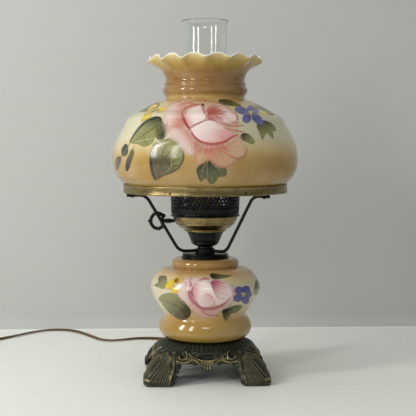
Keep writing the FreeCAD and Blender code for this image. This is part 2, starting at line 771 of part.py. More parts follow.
def plug_blades():
    x, y, z = plug_back.x - plug_length, plug_back.y, plug_t / 2
    blades = [
        box(x - blade_l, x, y + side - blade_t / 2, y + side + blade_t / 2, z - blade_w / 2, z + blade_w / 2)
        for side in (-blade_gap / 2, blade_gap / 2)
    ]
    return Part.makeCompound(blades)


def lead_tail():
    wire, radii = rounded_path(tail_route)
    solid = swept_round(wire, lead_half)
    describe_tube("lead_tail", solid, wire, radii, lead_d)
    return solid


# ---- the whole lamp --------------------------------------------------------------------------
def make_nodes():
    nodes = {
        "base_casting": base_casting, "felt_pads": felt_pads, "font_seat_washer": seat_washer,
        "base_washer": base_washer, "base_nut": base_nut, "threaded_pipe": pipe, "font": font,
        "font_cap": font_cap, "arm_hub": arm_hub, "arm_rivets": arm_rivets, "shade_ring": shade_ring,
        "burner_cup": burner_cup, "burner_bowl": burner_bowl, "gallery": gallery, "chimney_holder": chimney_holder,
        "socket_cap": socket_cap, "socket_shell": socket_shell, "socket_sleeve": socket_sleeve_ring,
        "socket_core": socket_core, "screw_shell": screw_shell, "centre_contact": centre_contact,
        "switch_spindle": switch_spindle, "switch_key": switch_key, "chimney": chimney,
        "bulb_glass": bulb_glass_envelope, "bulb_screw_base": bulb_screw_base, "bulb_contact": bulb_contact,
        "shade_lower": shade_lower, "shade_upper": shade_upper, "shade_neck": shade_neck,
        "lead_bushing": lead_bushing, "inner_lead": inner_lead, "lead": lead,
        "lead_coil": lead_coil, "coil_tie": coil_tie, "lead_tail": lead_tail, "plug_body": plug_body, "plug_blades": plug_blades,
    }
    made = {name: make() for name, make in nodes.items()}
    for i, arm in enumerate(around(shade_arm(), arm_count, arm_first_angle)):
        made[f"shade_arm_{i + 1}"] = arm
    return made


for node_name, node_shape in make_nodes().items():
    if not node_shape.isValid() or not node_shape.Solids:
        print(f"{node_name}: not a valid solid")
    node_shape.exportStep(f"parts/{node_name}.step")
    print(f"{node_name}: {len(node_shape.Solids)} solid(s), {sum(s.Volume for s in node_shape.Solids) / 1000:.2f} cm3")
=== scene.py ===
import math

import bpy
import numpy as np
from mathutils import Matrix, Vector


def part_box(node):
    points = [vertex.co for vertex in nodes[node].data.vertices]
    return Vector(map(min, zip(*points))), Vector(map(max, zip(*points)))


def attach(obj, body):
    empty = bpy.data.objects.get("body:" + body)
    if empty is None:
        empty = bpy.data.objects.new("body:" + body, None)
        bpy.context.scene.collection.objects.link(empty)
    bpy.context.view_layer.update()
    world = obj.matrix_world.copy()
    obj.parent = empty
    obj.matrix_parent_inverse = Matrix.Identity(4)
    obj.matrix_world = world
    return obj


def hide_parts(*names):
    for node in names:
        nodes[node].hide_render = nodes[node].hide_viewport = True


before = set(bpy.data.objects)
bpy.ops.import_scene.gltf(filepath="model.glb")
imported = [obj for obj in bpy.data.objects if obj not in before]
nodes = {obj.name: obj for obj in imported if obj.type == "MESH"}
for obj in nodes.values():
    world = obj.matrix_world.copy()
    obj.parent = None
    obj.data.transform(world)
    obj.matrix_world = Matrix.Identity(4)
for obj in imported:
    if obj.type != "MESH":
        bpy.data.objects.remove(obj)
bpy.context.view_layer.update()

# Lengths are written in millimetres and turned into metres where a mesh is made.
mm = 0.001
frontTurn = -2.5          # the lamp is looked at from this many degrees round its axis
eye = {"away": 1650.0, "height": 374.0, "aside": 4.5, "pitch": 3.79, "lens": 90.2}


# Shader maths: a Link is one output socket, and sums and products of Links add Math nodes.
class Link:
    def __init__(self, finish, socket):
        self.finish = finish
        self.socket = socket

    def maths(self, operation, *values):
        return self.finish.node("Math", {"operation": operation}, dict(enumerate(values)))

    def __add__(self, other):
        return self.maths("ADD", self, other)

    def __radd__(self, other):
        return self.maths("ADD", other, self)

    def __sub__(self, other):
        return self.maths("SUBTRACT", self, other)

    def __rsub__(self, other):
        return self.maths("SUBTRACT", other, self)

    def __mul__(self, other):
        return self.maths("MULTIPLY", self, other)

    def __rmul__(self, other):
        return self.maths("MULTIPLY", other, self)

    def clamped(self):
        return self.finish.node("Clamp", {}, {"Value": self})

    def between(self, low, high):
        return self.finish.node("MapRange", {"interpolation_type": "SMOOTHSTEP"},
                                {"Value": self, "From Min": low, "From Max": high})


class Finish:
    def __init__(self, name):
        self.material = bpy.data.materials.new(name)
        self.material.use_nodes = True
        self.nodes = self.material.node_tree.nodes
        self.links = self.material.node_tree.links
        self.nodes.clear()

    # Any node: its type, its settings, then the values or links of its sockets.
    def node(self, kind, settings=None, sockets=None, output=0):
        made = self.nodes.new("ShaderNode" + kind)
        for name, value in (settings or {}).items():
            if name == "stops":
                self.setStops(made.color_ramp, value)
            else:
                setattr(made, name, value)
        for name, value in (sockets or {}).items():
            if isinstance(value, Link):
                self.links.new(value.socket, made.inputs[name])
            else:
                made.inputs[name].default_value = value
        return Link(self, made.outputs[output])

    def setStops(self, ramp, stops):
        while len(ramp.elements) < len(stops):
            ramp.elements.new(0.5)
        for element, (place, colour) in zip(ramp.elements, stops):
            element.position = place
            element.color = colour

    def mixed(self, amount, first, second, blend="MIX"):
        return self.node("Mix", {"data_type": "RGBA", "blend_type": blend},
                         {0: amount, 6: first, 7: second}, output=2)

    def place(self):
        return self.node("TexCoord", output="Object")

    # Height of the shaded point, in millimetres.
    def height(self):
        vector = self.node("VectorMath", {"operation": "SCALE"}, {0: self.place(), "Scale": 1 / mm})
        return self.node("SeparateXYZ", {}, {0: vector}, output=2)

    # Noise with a feature size in millimetres, stretched along each axis by the given factors.
    def noise(self, size, detail=3.0, stretch=(1, 1, 1), seed=0.0):
        scale = [1.0 / factor for factor in stretch]
        where = self.node("VectorMath", {"operation": "MULTIPLY"}, {0: self.place(), 1: scale})
        return self.node("TexNoise", {"noise_dimensions": "4D"},
                         {"Vector": where, "W": seed, "Scale": 1.0 / (size * mm), "Detail": detail})

    def bump(self, height, depth, normal=None):
        sockets = {"Height": height, "Distance": depth * mm}
        if normal is not None:
            sockets["Normal"] = normal
        return self.node("Bump", {}, sockets)

    def shader(self, **sockets):
        names = {"colour": "Base Color", "roughness": "Roughness", "metallic": "Metallic",
                 "normal": "Normal", "coat": "Coat Weight", "coatRoughness": "Coat Roughness",
                 "alpha": "Alpha", "ior": "IOR", "transmission": "Transmission Weight",
                 "sheen": "Sheen Weight", "specular": "Specular IOR Level",
                 "subsurface": "Subsurface Weight", "subsurfaceScale": "Subsurface Scale"}
        return self.node("BsdfPrincipled", {}, {names[name]: value for name, value in sockets.items()})

    def surface(self, **sockets):
        return self.finishWith(self.shader(**sockets))

    def finishWith(self, shader):
        made = self.nodes.new("ShaderNodeOutputMaterial")
        self.links.new(shader.socket, made.inputs["Surface"])
        return self.material


# A paint chart's 0 to 255 numbers as a linear colour.
def tone(red, green, blue):
    parts = [value / 255 for value in (red, green, blue)]
    linear = [part / 12.92 if part <= 0.04045 else ((part + 0.055) / 1.055) ** 2.4 for part in parts]
    return (*linear, 1.0)


# bare is a number for each point that its finish may use: where paint is left off, or metal is rubbed
# bright.
def makePiece(name, places, faces, body, finish, slot=None, replaces=(), bare=None):
    mesh = bpy.data.meshes.new(name)
    mesh.from_pydata((np.asarray(places, float) * mm).tolist(), [], faces)
    mesh.shade_smooth()
    mesh.materials.append(finish)
    piece = bpy.data.objects.new(name, mesh)
    bpy.context.scene.collection.objects.link(piece)
    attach(piece, body)
    if bare is not None:
        layer = mesh.attributes.new("bare", "FLOAT", "POINT")
        layer.data.foreach_set("value", np.asarray(bare, float).ravel())
    if replaces:
        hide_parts(*replaces)
    return piece


# The quads of a grid of rows and columns, with either direction joined end to end.
def gridFaces(rows, columns, closedRows=False, closedColumns=True, start=0):
    lastRow = rows if closedRows else rows - 1
    lastColumn = columns if closedColumns else columns - 1
    i, j = np.meshgrid(np.arange(lastRow), np.arange(lastColumn), indexing="ij")
    up, along = (i + 1) % rows, (j + 1) % columns
    quads = np.stack([i * columns + j, i * columns + along, up * columns + along, up * columns + j], -1)
    return (quads.reshape(-1, 4) + start).tolist()


# Points on a smooth line through the given ones.
def smoothLine(points, steps=6, closed=False):
    points = np.asarray(points, float)
    count = len(points)
    made = []
    for i in range(count if closed else count - 1):
        if closed:
            a, b, c, d = (points[(i + k) % count] for k in (-1, 0, 1, 2))
        else:
            b, c = points[i], points[i + 1]
            a = points[i - 1] if i else 2 * b - c
            d = points[i + 2] if i + 2 < count else 2 * c - b
        for t in np.arange(steps) / steps:
            made.append(0.5 * (2 * b + (c - a) * t + (2 * a - 5 * b + 4 * c - d) * t ** 2
                               + (3 * b - a - 3 * c + d) * t ** 3))
    if not closed:
        made.append(points[-1])
    return np.array(made)


# A closed profile of (radius, height) turned round the lamp's axis. warp bends it at each angle.
def turnedPiece(name, profile, body, finish, segments=128, warp=None, bare=None, **rest):
    profile = np.asarray(profile, float)
    angles = np.linspace(0, 2 * math.pi, segments, endpoint=False)
    radius, angle = np.meshgrid(profile[:, 0], angles, indexing="ij")
    height = np.repeat(profile[:, 1:], segments, 1)
    if warp:
        radius, height = warp(radius, height, angle)
    places = np.stack([radius * np.cos(angle), radius * np.sin(angle), height], -1).reshape(-1, 3)
    if bare is not None:
        bare = np.repeat(bare, segments)
    faces = gridFaces(len(profile), segments, closedRows=True)
    return makePiece(name, places, faces, body, finish, bare=bare, **rest)


# Cross directions carried along a line without twisting.
def carriedFrames(line, closed=False):
    ahead = np.roll(line, -1, 0) - np.roll(line, 1, 0)
    if not closed:
        ahead[0], ahead[-1] = line[1] - line[0], line[-1] - line[-2]
    ahead /= np.linalg.norm(ahead, axis=1)[:, None]
    side = np.cross(ahead[0], (0, 0, 1))
    if np.linalg.norm(side) < 0.1:
        side = np.cross(ahead[0], (0, 1, 0))
    sides = []
    for direction in ahead:
        side = side - direction * side.dot(direction)
        side /= np.linalg.norm(side)
        sides.append(side)
    sides = np.array(sides)
    return sides, np.cross(sides, ahead)


# A section swept along a line. twist is in radians and size a factor, both given for each point.
def sweptPiece(name, line, section, body, finish, twist=0.0, size=1.0, closed=False, **rest):
    line = np.asarray(line, float)
    section = np.asarray(section, float)
    across, upward = carriedFrames(line, closed)
    turn = np.broadcast_to(twist, len(line))[:, None]
    grow = np.broadcast_to(size, len(line))[:, None]
    u = (section[:, 0] * np.cos(turn) - section[:, 1] * np.sin(turn)) * grow
    v = (section[:, 0] * np.sin(turn) + section[:, 1] * np.cos(turn)) * grow
    places = line[:, None] + across[:, None] * u[..., None] + upward[:, None] * v[..., None]
    faces = gridFaces(len(line), len(section), closed)
    if not closed:
        faces.append(list(range(len(section))))
        last = (len(line) - 1) * len(section)
        faces.append(list(range(last + len(section) - 1, last - 1, -1)))
    return makePiece(name, places.reshape(-1, 3), faces, body, finish, **rest)


def roundSection(radius, sides=12, lobes=0, depth=0.0):
    angles = np.linspace(0, 2 * math.pi, sides, endpoint=False)
    reach = radius * (1 + depth * np.cos(lobes * angles))
    return np.stack([reach * np.cos(angles), reach * np.sin(angles)], 1)


room = {"floor": tone(246, 248, 243), "wall": tone(195, 197, 194), "sky": 0.28,
        "windowPower": 15.5, "frontPower": 4.5, "topPower": 9.0}


def seenFrom(azimuth, away, height, aside=0.0):
    angle = math.radians(azimuth)
    right = (math.cos(angle), math.sin(angle))
    ahead = (-math.sin(angle), math.cos(angle))
    return (aside * right[0] - away * ahead[0], aside * right[1] - away * ahead[1], height)


def addCamera():
    data = bpy.data.cameras.new("camera")
    data.lens = eye["lens"]
    data.sensor_width = 36.0
    data.clip_start = 0.01
    camera = bpy.data.objects.new("camera", data)
    camera.location = np.array(seenFrom(frontTurn, eye["away"], eye["height"], eye["aside"])) * mm
    camera.rotation_euler = (math.radians(90 - eye["pitch"]), 0, math.radians(frontTurn))
    bpy.context.scene.collection.objects.link(camera)
    bpy.context.scene.camera = camera


def addLight(name, place, target, power, width, height, colour=(1, 1, 1)):
    data = bpy.data.lights.new(name, "AREA")
    data.shape = "RECTANGLE"
    data.size = width
    data.size_y = height
    data.energy = power
    data.color = colour
    light = bpy.data.objects.new(name, data)
    place = np.array(place) * mm
    aim = np.array(target) * mm - place
    light.location = place
    light.rotation_euler = (math.acos(-aim[2] / np.linalg.norm(aim)), 0,
                            math.atan2(aim[1], aim[0]) - math.pi / 2)
    bpy.context.scene.collection.objects.link(light)


def addRoom():
    world = bpy.data.worlds.new("room")
    world.use_nodes = True
    world.node_tree.nodes["Background"].inputs["Color"].default_value = (1.0, 1.0, 0.96, 1)
    world.node_tree.nodes["Background"].inputs["Strength"].default_value = room["sky"]
    bpy.context.scene.world = world
    bpy.context.scene.view_settings.view_transform = "Standard"
    middle = (0, 0, 300)
    for side, power in ((-1, 1.1), (1, 0.6)):
        addLight(f"windowPane{side + 1}", seenFrom(-52.5 + 13.5 * side, 1900, 1080), middle,
                 power * room["windowPower"], 0.26, 1.0, (1.0, 0.99, 0.95))
    addLight("frontLamp", seenFrom(0, 2100, 1500), middle, room["frontPower"], 0.7, 0.3)
    addLight("topLamp", (-300, 100, 2200), middle, room["topPower"], 1.6, 1.6)

    floor = Finish("paleFloor")
    grain = floor.noise(14, 4)
    colour = floor.mixed(grain.between(0.3, 0.7) * 0.12, room["floor"], tone(212, 216, 214))
    floor.surface(colour=colour, roughness=0.42 + grain * 0.1, normal=floor.bump(floor.noise(3, 3), 0.08))
    wall = Finish("paleWall")
    plaster = wall.noise(45, 5)
    solid = wall.shader(colour=wall.mixed(plaster.between(0.3, 0.7) * 0.15, room["wall"],
                                          tone(190, 194, 198)), roughness=0.9,
                        normal=wall.bump(wall.noise(5, 3), 0.15))
    # The wall has no rear face, so that it can't hide the lamp's back.
    rear = wall.node("NewGeometry", output=6)
    wall.finishWith(wall.node("MixShader", {}, {0: rear, 1: solid, 2: wall.node("BsdfTransparent")}))

    half, back, foot = 4000, 400, 26
    bend = [(-half, 0)] + [(back - foot + foot * math.sin(a), foot - foot * math.cos(a))
                           for a in np.linspace(0, math.pi / 2, 12)] + [(back, 3200)]
    bend = np.array(bend)
    places, faces = [], gridFaces(len(bend), 2, closedColumns=False)
    for y, z in bend:
        places += [(-half, y, z), (half, y, z)]
    mesh = bpy.data.meshes.new("backdrop")
    mesh.from_pydata((np.array(places) * mm).tolist(), [], faces)
    mesh.materials.append(floor.material)
    mesh.materials.append(wall.material)
    for polygon in mesh.polygons:
        polygon.material_index = int(polygon.index > 3)
    mesh.shade_smooth()
    backdrop = bpy.data.objects.new("backdrop", mesh)
    bpy.context.scene.collection.objects.link(backdrop)


addCamera()
addRoom()
print("camera, light and room")


lead = {"width": 5.6, "thick": 3.4, "declared": 1.9, "turnLength": 95.0, "coilTurns": 6, "coilPoints": 14,
        "coilRadii": (36.4, 30.8, 25.2), "bushingFace": 86.0, "bushingHeight": 41.0,
        "coilCentre": (-425.0, 262.0), "coilFloor": 0.8, "plugBack": (-427.0, 166.0, 6.5)}


def leadFinish():
    vinyl = Finish("brownVinyl")
    cloudy = vinyl.noise(9, 4)
    fine = vinyl.noise(0.6, 3, seed=2.0)
    colour = vinyl.mixed(cloudy.between(0.35, 0.7), tone(78, 54, 24), tone(106, 78, 38))
    colour = vinyl.mixed(fine.between(0.55, 0.8) * 0.35, colour, tone(110, 86, 50))
    return vinyl.surface(colour=colour, roughness=0.38 + cloudy * 0.2, normal=vinyl.bump(fine, 0.06))


def leadRoute():
    half = lead["width"] / 2
    face, height = lead["bushingFace"], lead["bushingHeight"]
    points = [
        (0, face, height), (0, 106, height), (-1, 130, 33), (-3, 156, 18), (-6, 181, 6),
        (-11, 207, half), (-22, 236, half), (-42, 260, half), (-72, 277, half),
        (-114, 285, half), (-155, 262, half), (-181, 268, half), (-203, 308, half),
        (-234, 360, half), (-262, 378, half), (-292, 376, half), (-320, 352, half),
        (-344, 320, half), (-366, 291, half), (-382, 273, half + 0.4),
    ]
    x, y = lead["coilCentre"]
    low = lead["coilFloor"] + half
    count = lead["coilTurns"] * lead["coilPoints"]
    radii = list(lead["coilRadii"]) + list(lead["coilRadii"])[::-1]
    for i in range(count):
        turn = i / lead["coilPoints"]
        layer = min(int(turn), len(radii) - 1)
        part = max(0.0, (turn - layer - 0.55) / 0.45)
        after = radii[min(layer + 1, len(radii) - 1)]
        radius = radii[layer] + (after - radii[layer]) * part
        rise = lead["width"] * (1.0 if layer > 2 else part if layer == 2 else 0.0)
        angle = math.radians(-12) - 2 * math.pi * turn
        points.append((x + radius * math.cos(angle), y + radius * math.sin(angle), low + rise))
    points += [(-387.5, 257, 8.6), (-385, 240, 6.8), (-383, 222, 4.4), (-381, 204, half + 0.2),
               (-387, 183, half + 0.3), (-404, 169, 5.2), lead["plugBack"]]
    return points


# The smooth line that a lead takes through its route's points.
def smoothRoute(points):
    curve = bpy.data.curves.new("route", "CURVE")
    curve.dimensions = "3D"
    spline = curve.splines.new("NURBS")
    spline.points.add(len(points) - 1)
    for point, place in zip(spline.points, points):
        point.co = (*(value * mm for value in place), 1)
    spline.order_u = 3
    spline.use_endpoint_u = True
    curve.resolution_u = 8
    holder = bpy.data.objects.new("route", curve)
    mesh = bpy.data.meshes.new_from_object(holder)
    line = np.array([vertex.co for vertex in mesh.vertices])
    bpy.data.objects.remove(holder)
    bpy.data.meshes.remove(mesh)
    bpy.data.curves.remove(curve)
    return line / mm


# Two round conductors side by side, with a shallow groove between them.
def twinSection():
    radius = lead["thick"] / 2
    offset = lead["width"] / 2 - radius
    angles = np.linspace(0, 2 * math.pi, 28, endpoint=False)
    x = offset * np.tanh(2.5 * np.cos(angles)) + radius * np.cos(angles)
    y = radius * np.sin(angles) * (1 - 0.38 * np.exp(-(x / 0.7) ** 2))
    return np.stack([x, y], 1)


def addLead(vinyl):
    line = smoothRoute(leadRoute())
    steps = np.linalg.norm(np.diff(line, axis=0), axis=1)
    along = np.concatenate([[0], np.cumsum(steps)])
    twist = (math.pi / 2 + 0.9 * np.sin(along / lead["turnLength"] * 2) + 0.5 * np.sin(along / 37.0 + 1.0)
             + along / 260.0)
    piece = sweptPiece("twinLead", line, twinSection(), "stand", vinyl, twist=twist, slot="brown_vinyl",
                       replaces=("lead", "lead_coil", "lead_tail"))
    return piece, line, along[-1]


brownVinyl = leadFinish()
twinLead, leadLine, leadLong = addLead(brownVinyl)
print("lead", round(leadLong), "mm long")


def lowEnd(name):
    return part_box(name)[0][2] / mm


def highEnd(name):
    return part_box(name)[1][2] / mm


# A profile moved sideways by a wall's thickness, towards the axis when it is listed upwards.
def insideOf(profile, wall):
    profile = np.asarray(profile, float)
    ahead = np.gradient(profile, axis=0)
    ahead /= np.linalg.norm(ahead, axis=1)[:, None]
    return profile + wall * np.stack([-ahead[:, 1], ahead[:, 0]], 1)


shade = {"foot": lowEnd("shade_lower"), "fitter": 127.0, "widest": 146.3, "neck": 62.2, "bead": 67.0,
         "rim": 87.0, "wall": 3.4, "ruffles": 15, "firstDip": -91.5, "ruffleOut": 3.6, "ruffleDown": 6.6,
         "ruffleFrom": 188.0, "ruffleTo": 212.0}


def shadeOutside():
    f, w, n, b, rim = (shade[key] for key in ("fitter", "widest", "neck", "bead", "rim"))
    dome = [(f, 10.5), (f + 1.2, 13.6), (f + 6.6, 18.4), (w - 7.3, 24.8), (w - 3.8, 31.1), (w - 1.1, 39.5),
            (w, 49.5), (w - 0.5, 59.5), (w - 2.4, 71.5), (w - 6.2, 81.0), (w - 11.0, 91.0),
            (w - 17.4, 102.5), (w - 23.8, 115.0), (w - 32.0, 121.5), (w - 42.2, 126.2), (w - 51.0, 131.4),
            (w - 63.5, 138.0), (w - 71.0, 141.3), (n + 4.2, 144.6), (n, 147.4)]
    neck = [(n, 147.4), (n + 1.1, 151.2), (b - 1.5, 154.2), (b, 158.6), (b - 1.2, 162.6), (n + 1.6, 165.8),
            (n + 2.2, 168.8), (n + 0.9, 171.6), (n, 174.6), (n + 1.0, 180.0), (n + 3.8, 186.2),
            (n + 8.2, 192.2), (n + 13.8, 197.8), (n + 19.2, 202.8), (n + 22.8, 207.2), (n + 24.4, 210.4),
            (rim, 212.0)]
    return smoothLine(dome, 3)[:-1], smoothLine(neck, 4)


# Waves of the rim: it dips where it flares out, and rises where it is pulled in.
def ruffled(radius, height, angle):
    rise = np.clip((height - shade["foot"]
                    - shade["ruffleFrom"]) / (shade["ruffleTo"] - shade["ruffleFrom"]), 0, 1)
    dip = np.cos(shade["ruffles"] * (angle - math.radians(shade["firstDip"]))) * 0.5 + 0.5
    wave = dip ** 1.7 * rise ** 1.5
    wander = 1 + 0.16 * np.sin(2 * angle + 0.7) + 0.1 * np.sin(5 * angle)
    return radius + shade["ruffleOut"] * wave * wander, height - shade["ruffleDown"] * wave * wander


# Sprayed ground colours by height, fading into each other, on the outside of white glass.
def sprayedGlass(name, low, high, stops, white, cloud=5.0):
    glass = Finish(name)
    z = glass.height()
    drift = (glass.noise(34, 3) - 0.5) * cloud + (glass.noise(9, 3, seed=4.0) - 0.5) * (0.25 * cloud)
    height = (z + drift - low) * (1 / (high - low))
    ground = glass.node("ValToRGB", {"stops": stops}, {"Fac": height})
    speckle = glass.noise(1.1, 2, seed=7.0).between(0.58, 0.75)
    ground = glass.mixed(speckle * 0.10, ground, tone(120, 84, 46))
    ground = glass.mixed(glass.noise(60, 3, seed=2.0).between(0.35, 0.75) * 0.16, ground,
                         tone(238, 220, 180))
    painted = 1 - glass.node("Attribute", {"attribute_name": "bare"}, output=2).between(0.3, 0.7)
    milk = glass.mixed(glass.noise(20, 2).between(0.3, 0.7) * 0.3, white, tone(236, 230, 214))
    wavy = glass.bump(glass.noise(26, 2, seed=1.0), 0.5)
    fine = glass.bump(glass.noise(1.4, 2, seed=5.0), 0.012, normal=wavy)
    dust = glass.noise(7, 4, seed=9.0).between(0.5, 0.8)
    return glass.surface(colour=glass.mixed(painted, milk, ground), roughness=dust * 0.12 + 0.13,
                         normal=fine, coat=0.35 + dust * 0.1, coatRoughness=0.07)


def shadeFinish():
    stops = [(0.0, tone(172, 136, 74)), (0.19, tone(166, 128, 58)), (0.265, tone(182, 147, 80)),
             (0.33, tone(208, 186, 134)), (0.40, tone(209, 201, 168)), (0.55, tone(209, 203, 174)),
             (0.63, tone(208, 190, 136)), (0.69, tone(186, 148, 78)), (0.73, tone(146, 102, 36)),
             (0.79, tone(136, 91, 28)), (0.87, tone(146, 102, 34)), (0.93, tone(194, 164, 94)),
             (1.0, tone(224, 204, 144))]
    return sprayedGlass("enamelledShadeGlass", shade["foot"], shade["foot"] + shade["ruffleTo"], stops,
                        tone(240, 236, 224))


def addShade():
    dome, neck = shadeOutside()
    outside = np.concatenate([dome, neck])
    inside = insideOf(outside, shade["wall"])
    inside[0] = (shade["fitter"] - shade["wall"], 10.5)
    crown = (outside[-1] + inside[-1]) / 2 + (0, 1.0)
    foot = [(shade["fitter"] - shade["wall"], 0.6), (shade["fitter"] - shade["wall"] / 2, 0.0),
            (shade["fitter"] - 0.6, 0.5)]
    profile = np.concatenate([outside, [crown], inside[::-1], foot]) + (0, shade["foot"])
    bare = np.arange(len(profile)) >= len(outside) - 4
    turnedPiece("shadeGlass", profile, "shade", shadeFinish(), segments=360, warp=ruffled, bare=bare,
                slot="painted_opal_glass", replaces=("shade_lower", "shade_upper", "shade_neck"))


addShade()
print("shade")

font = {"foot": lowEnd("font"), "footRadius": 50.0, "bead": 73.8, "waist": 65.5, "belly": 87.0,
        "neck": 53.6, "mouth": 31.0, "wall": 4.0}


def fontOutside():
    bead, waist, belly, neck = (font[key] for key in ("bead", "waist", "belly", "neck"))
    foot = [(font["footRadius"], 0.0), (font["footRadius"] + 7, 1.6), (bead - 7.6, 5.4), (bead - 2.2, 11.0),
            (bead, 17.2), (bead - 0.8, 24.0), (bead - 3.2, 30.4), (waist + 1.6, 35.4), (waist, 38.4)]
    body = [(waist, 38.4), (waist + 1.2, 42.0), (waist + 6.0, 50.5), (waist + 12.0, 60.0),
            (belly - 3.8, 70.2), (belly - 0.6, 79.5), (belly, 84.5), (belly - 0.9, 89.5),
            (belly - 3.8, 96.0), (belly - 8.0, 102.5), (belly - 14.0, 108.8), (neck + 12.0, 112.6),
            (neck + 3.6, 114.8), (neck - 1.6, 115.6)]
    roll = [(neck - 1.6, 115.6), (neck - 0.3, 118.0), (neck, 121.0), (neck - 1.0, 124.6),
            (neck - 4.2, 127.6), (neck - 8.0, 129.0)]
    return smoothLine(foot, 6)[:-1], smoothLine(body, 6)[:-1], smoothLine(roll, 6)


def fontFinish():
    stops = [(0.0, tone(166, 134, 66)), (0.22, tone(164, 130, 62)), (0.31, tone(178, 136, 66)),
             (0.40, tone(204, 178, 126)), (0.50, tone(206, 197, 162)), (0.70, tone(207, 200, 172)),
             (0.80, tone(204, 182, 134)), (0.875, tone(190, 146, 90)), (0.90, tone(160, 118, 56)),
             (1.0, tone(154, 110, 50))]
    return sprayedGlass("enamelledFontGlass", font["foot"], highEnd("font"), stops, tone(236, 230, 214),
                        cloud=4.0)


def addFont():
    foot, body, roll = fontOutside()
    mouth = [(font["mouth"], 129.0), (font["mouth"], 125.0), (font["neck"] - 10, 125.0)]
    inside = insideOf(body, font["wall"])[::-4]
    floor = [(font["footRadius"] - 4, font["wall"]), (6.9, font["wall"]), (6.9, 0.0)]
    profile = np.concatenate([foot, body, roll, mouth, inside, floor]) + (0, font["foot"])
    turnedPiece("fontGlass", profile, "stand", fontFinish(), segments=256,
                slot="painted_opal_glass", replaces=("font",))


addFont()
print("font")


# A picture drawn on the glass in thin enamel. x and z are millimetres across and up on the upright plane
# through the lamp's axis.
class Canvas:
    def __init__(self, x, z):
        self.x = x
        self.z = z
        self.colour = np.zeros((len(x), 3))
        self.cover = np.zeros(len(x))

    def lay(self, cover, colour):
        kept = self.cover * (1 - cover)
        total = np.maximum(kept + cover, 1e-6)
        self.colour = (self.colour * kept[:, None] + colour * cover[:, None]) / total[:, None]
        self.cover = kept + cover

    # The canvas points within reach of the box round a line.
    def near(self, line, reach):
        left, low = line.min(0) - reach
        right, high = line.max(0) + reach
        return np.nonzero((self.x > left) & (self.x < right) & (self.z > low) & (self.z < high))[0]

    # A closed shape that fades from the colour first, at the point start, to second, at the point end.
    def fill(self, outline, first, second, start, end, soft=0.9, cover=1.0, streaks=0.22):
        outline = smoothLine(outline, 6, closed=True)
        reach = soft + 1
        near = self.near(outline, reach)
        x, z = self.x[near], self.z[near]
        following = np.roll(outline, -1, 0)
        away = np.full(len(near), 1e9)
        inside = np.zeros(len(near), bool)
        for (ax, az), (bx, bz) in zip(outline, following):
            away = np.minimum(away, distanceToRun(x, z, ax, az, bx, bz)[0])
            crossing = (az > z) != (bz > z)
            inside ^= crossing & (x < (bx - ax) * (z - az) / (bz - az + 1e-9) + ax)
        edge = np.clip(0.5 + np.where(inside, away, -away) / (2 * soft), 0, 1)
        start, end = np.array(start, float), np.array(end, float)
        run = end - start
        share = ((x - start[0]) * run[0] + (z - start[1]) * run[1]) / run.dot(run)
        turn = np.arctan2(z - start[1] + 1e-6, x - start[0])
        hairs = (np.sin(23 * turn + 1.3) + 0.8 * np.sin(41 * turn + 4.0)
                 + 0.6 * np.sin(67 * turn + 2.2)) / 2.4
        share = np.clip(share + streaks * hairs, 0, 1)[:, None]
        share = share * share * (3 - 2 * share)
        full = np.zeros(len(self.x))
        full[near] = edge * cover
        shaded = np.zeros_like(self.colour)
        shaded[near] = np.array(first[:3]) * (1 - share) + np.array(second[:3]) * share
        self.lay(full, shaded)

    # A brush stroke that swells in its middle and thins at its ends.
    def stroke(self, points, colour, width, soft=0.5, cover=0.95, blunt=0.25):
        line = smoothLine(points, 6)
        reach = width / 2 + soft + 1
        near = self.near(line, reach)
        x, z = self.x[near], self.z[near]
        best = np.zeros(len(near))
        count = len(line) - 1
        for i, ((ax, az), (bx, bz)) in enumerate(zip(line, line[1:])):
            away, part = distanceToRun(x, z, ax, az, bx, bz)
            half = width / 2 * (blunt + (1 - blunt) * np.sin(math.pi * (i + part) / count) ** 0.7)
            best = np.maximum(best, np.clip(0.5 + (half - away) / (2 * soft), 0, 1))
        full = np.zeros(len(self.x))
        full[near] = best * cover
        self.lay(full, np.array(colour[:3])[None])

    def spots(self, points, colour, size):
        for point in points:
            self.stroke([point, (point[0] + 0.3, point[1])], colour, size, soft=0.35, blunt=1.0)


def distanceToRun(x, z, ax, az, bx, bz):
    run = (bx - ax) ** 2 + (bz - az) ** 2 + 1e-9
    part = np.clip(((x - ax) * (bx - ax) + (z - az) * (bz - az)) / run, 0, 1)
    return np.hypot(x - ax - part * (bx - ax), z - az - part * (bz - az)), part


enamel = {"salmon": tone(199, 107, 86), "deepRose": tone(176, 70, 62), "wine": tone(112, 42, 48),
          "blush": tone(232, 196, 184), "petal": tone(236, 214, 208), "shell": tone(240, 222, 216),
          "magenta": tone(168, 62, 92), "pink": tone(216, 146, 148), "darkLeaf": tone(22, 28, 16),
          "leaf": tone(98, 100, 48), "sage": tone(138, 138, 82), "moss": tone(74, 70, 36),
          "earth": tone(88, 64, 34), "indigo": tone(58, 54, 120), "violet": tone(84, 82, 152),
          "lilac": tone(112, 110, 172), "yellow": tone(226, 200, 18), "gold": tone(196, 158, 40),
          "ochre": tone(206, 160, 74), "brown": tone(96, 58, 22), "black": tone(18, 20, 18),
          "slate": tone(70, 76, 72), "cream": tone(238, 232, 206), "umber": tone(70, 48, 30)}


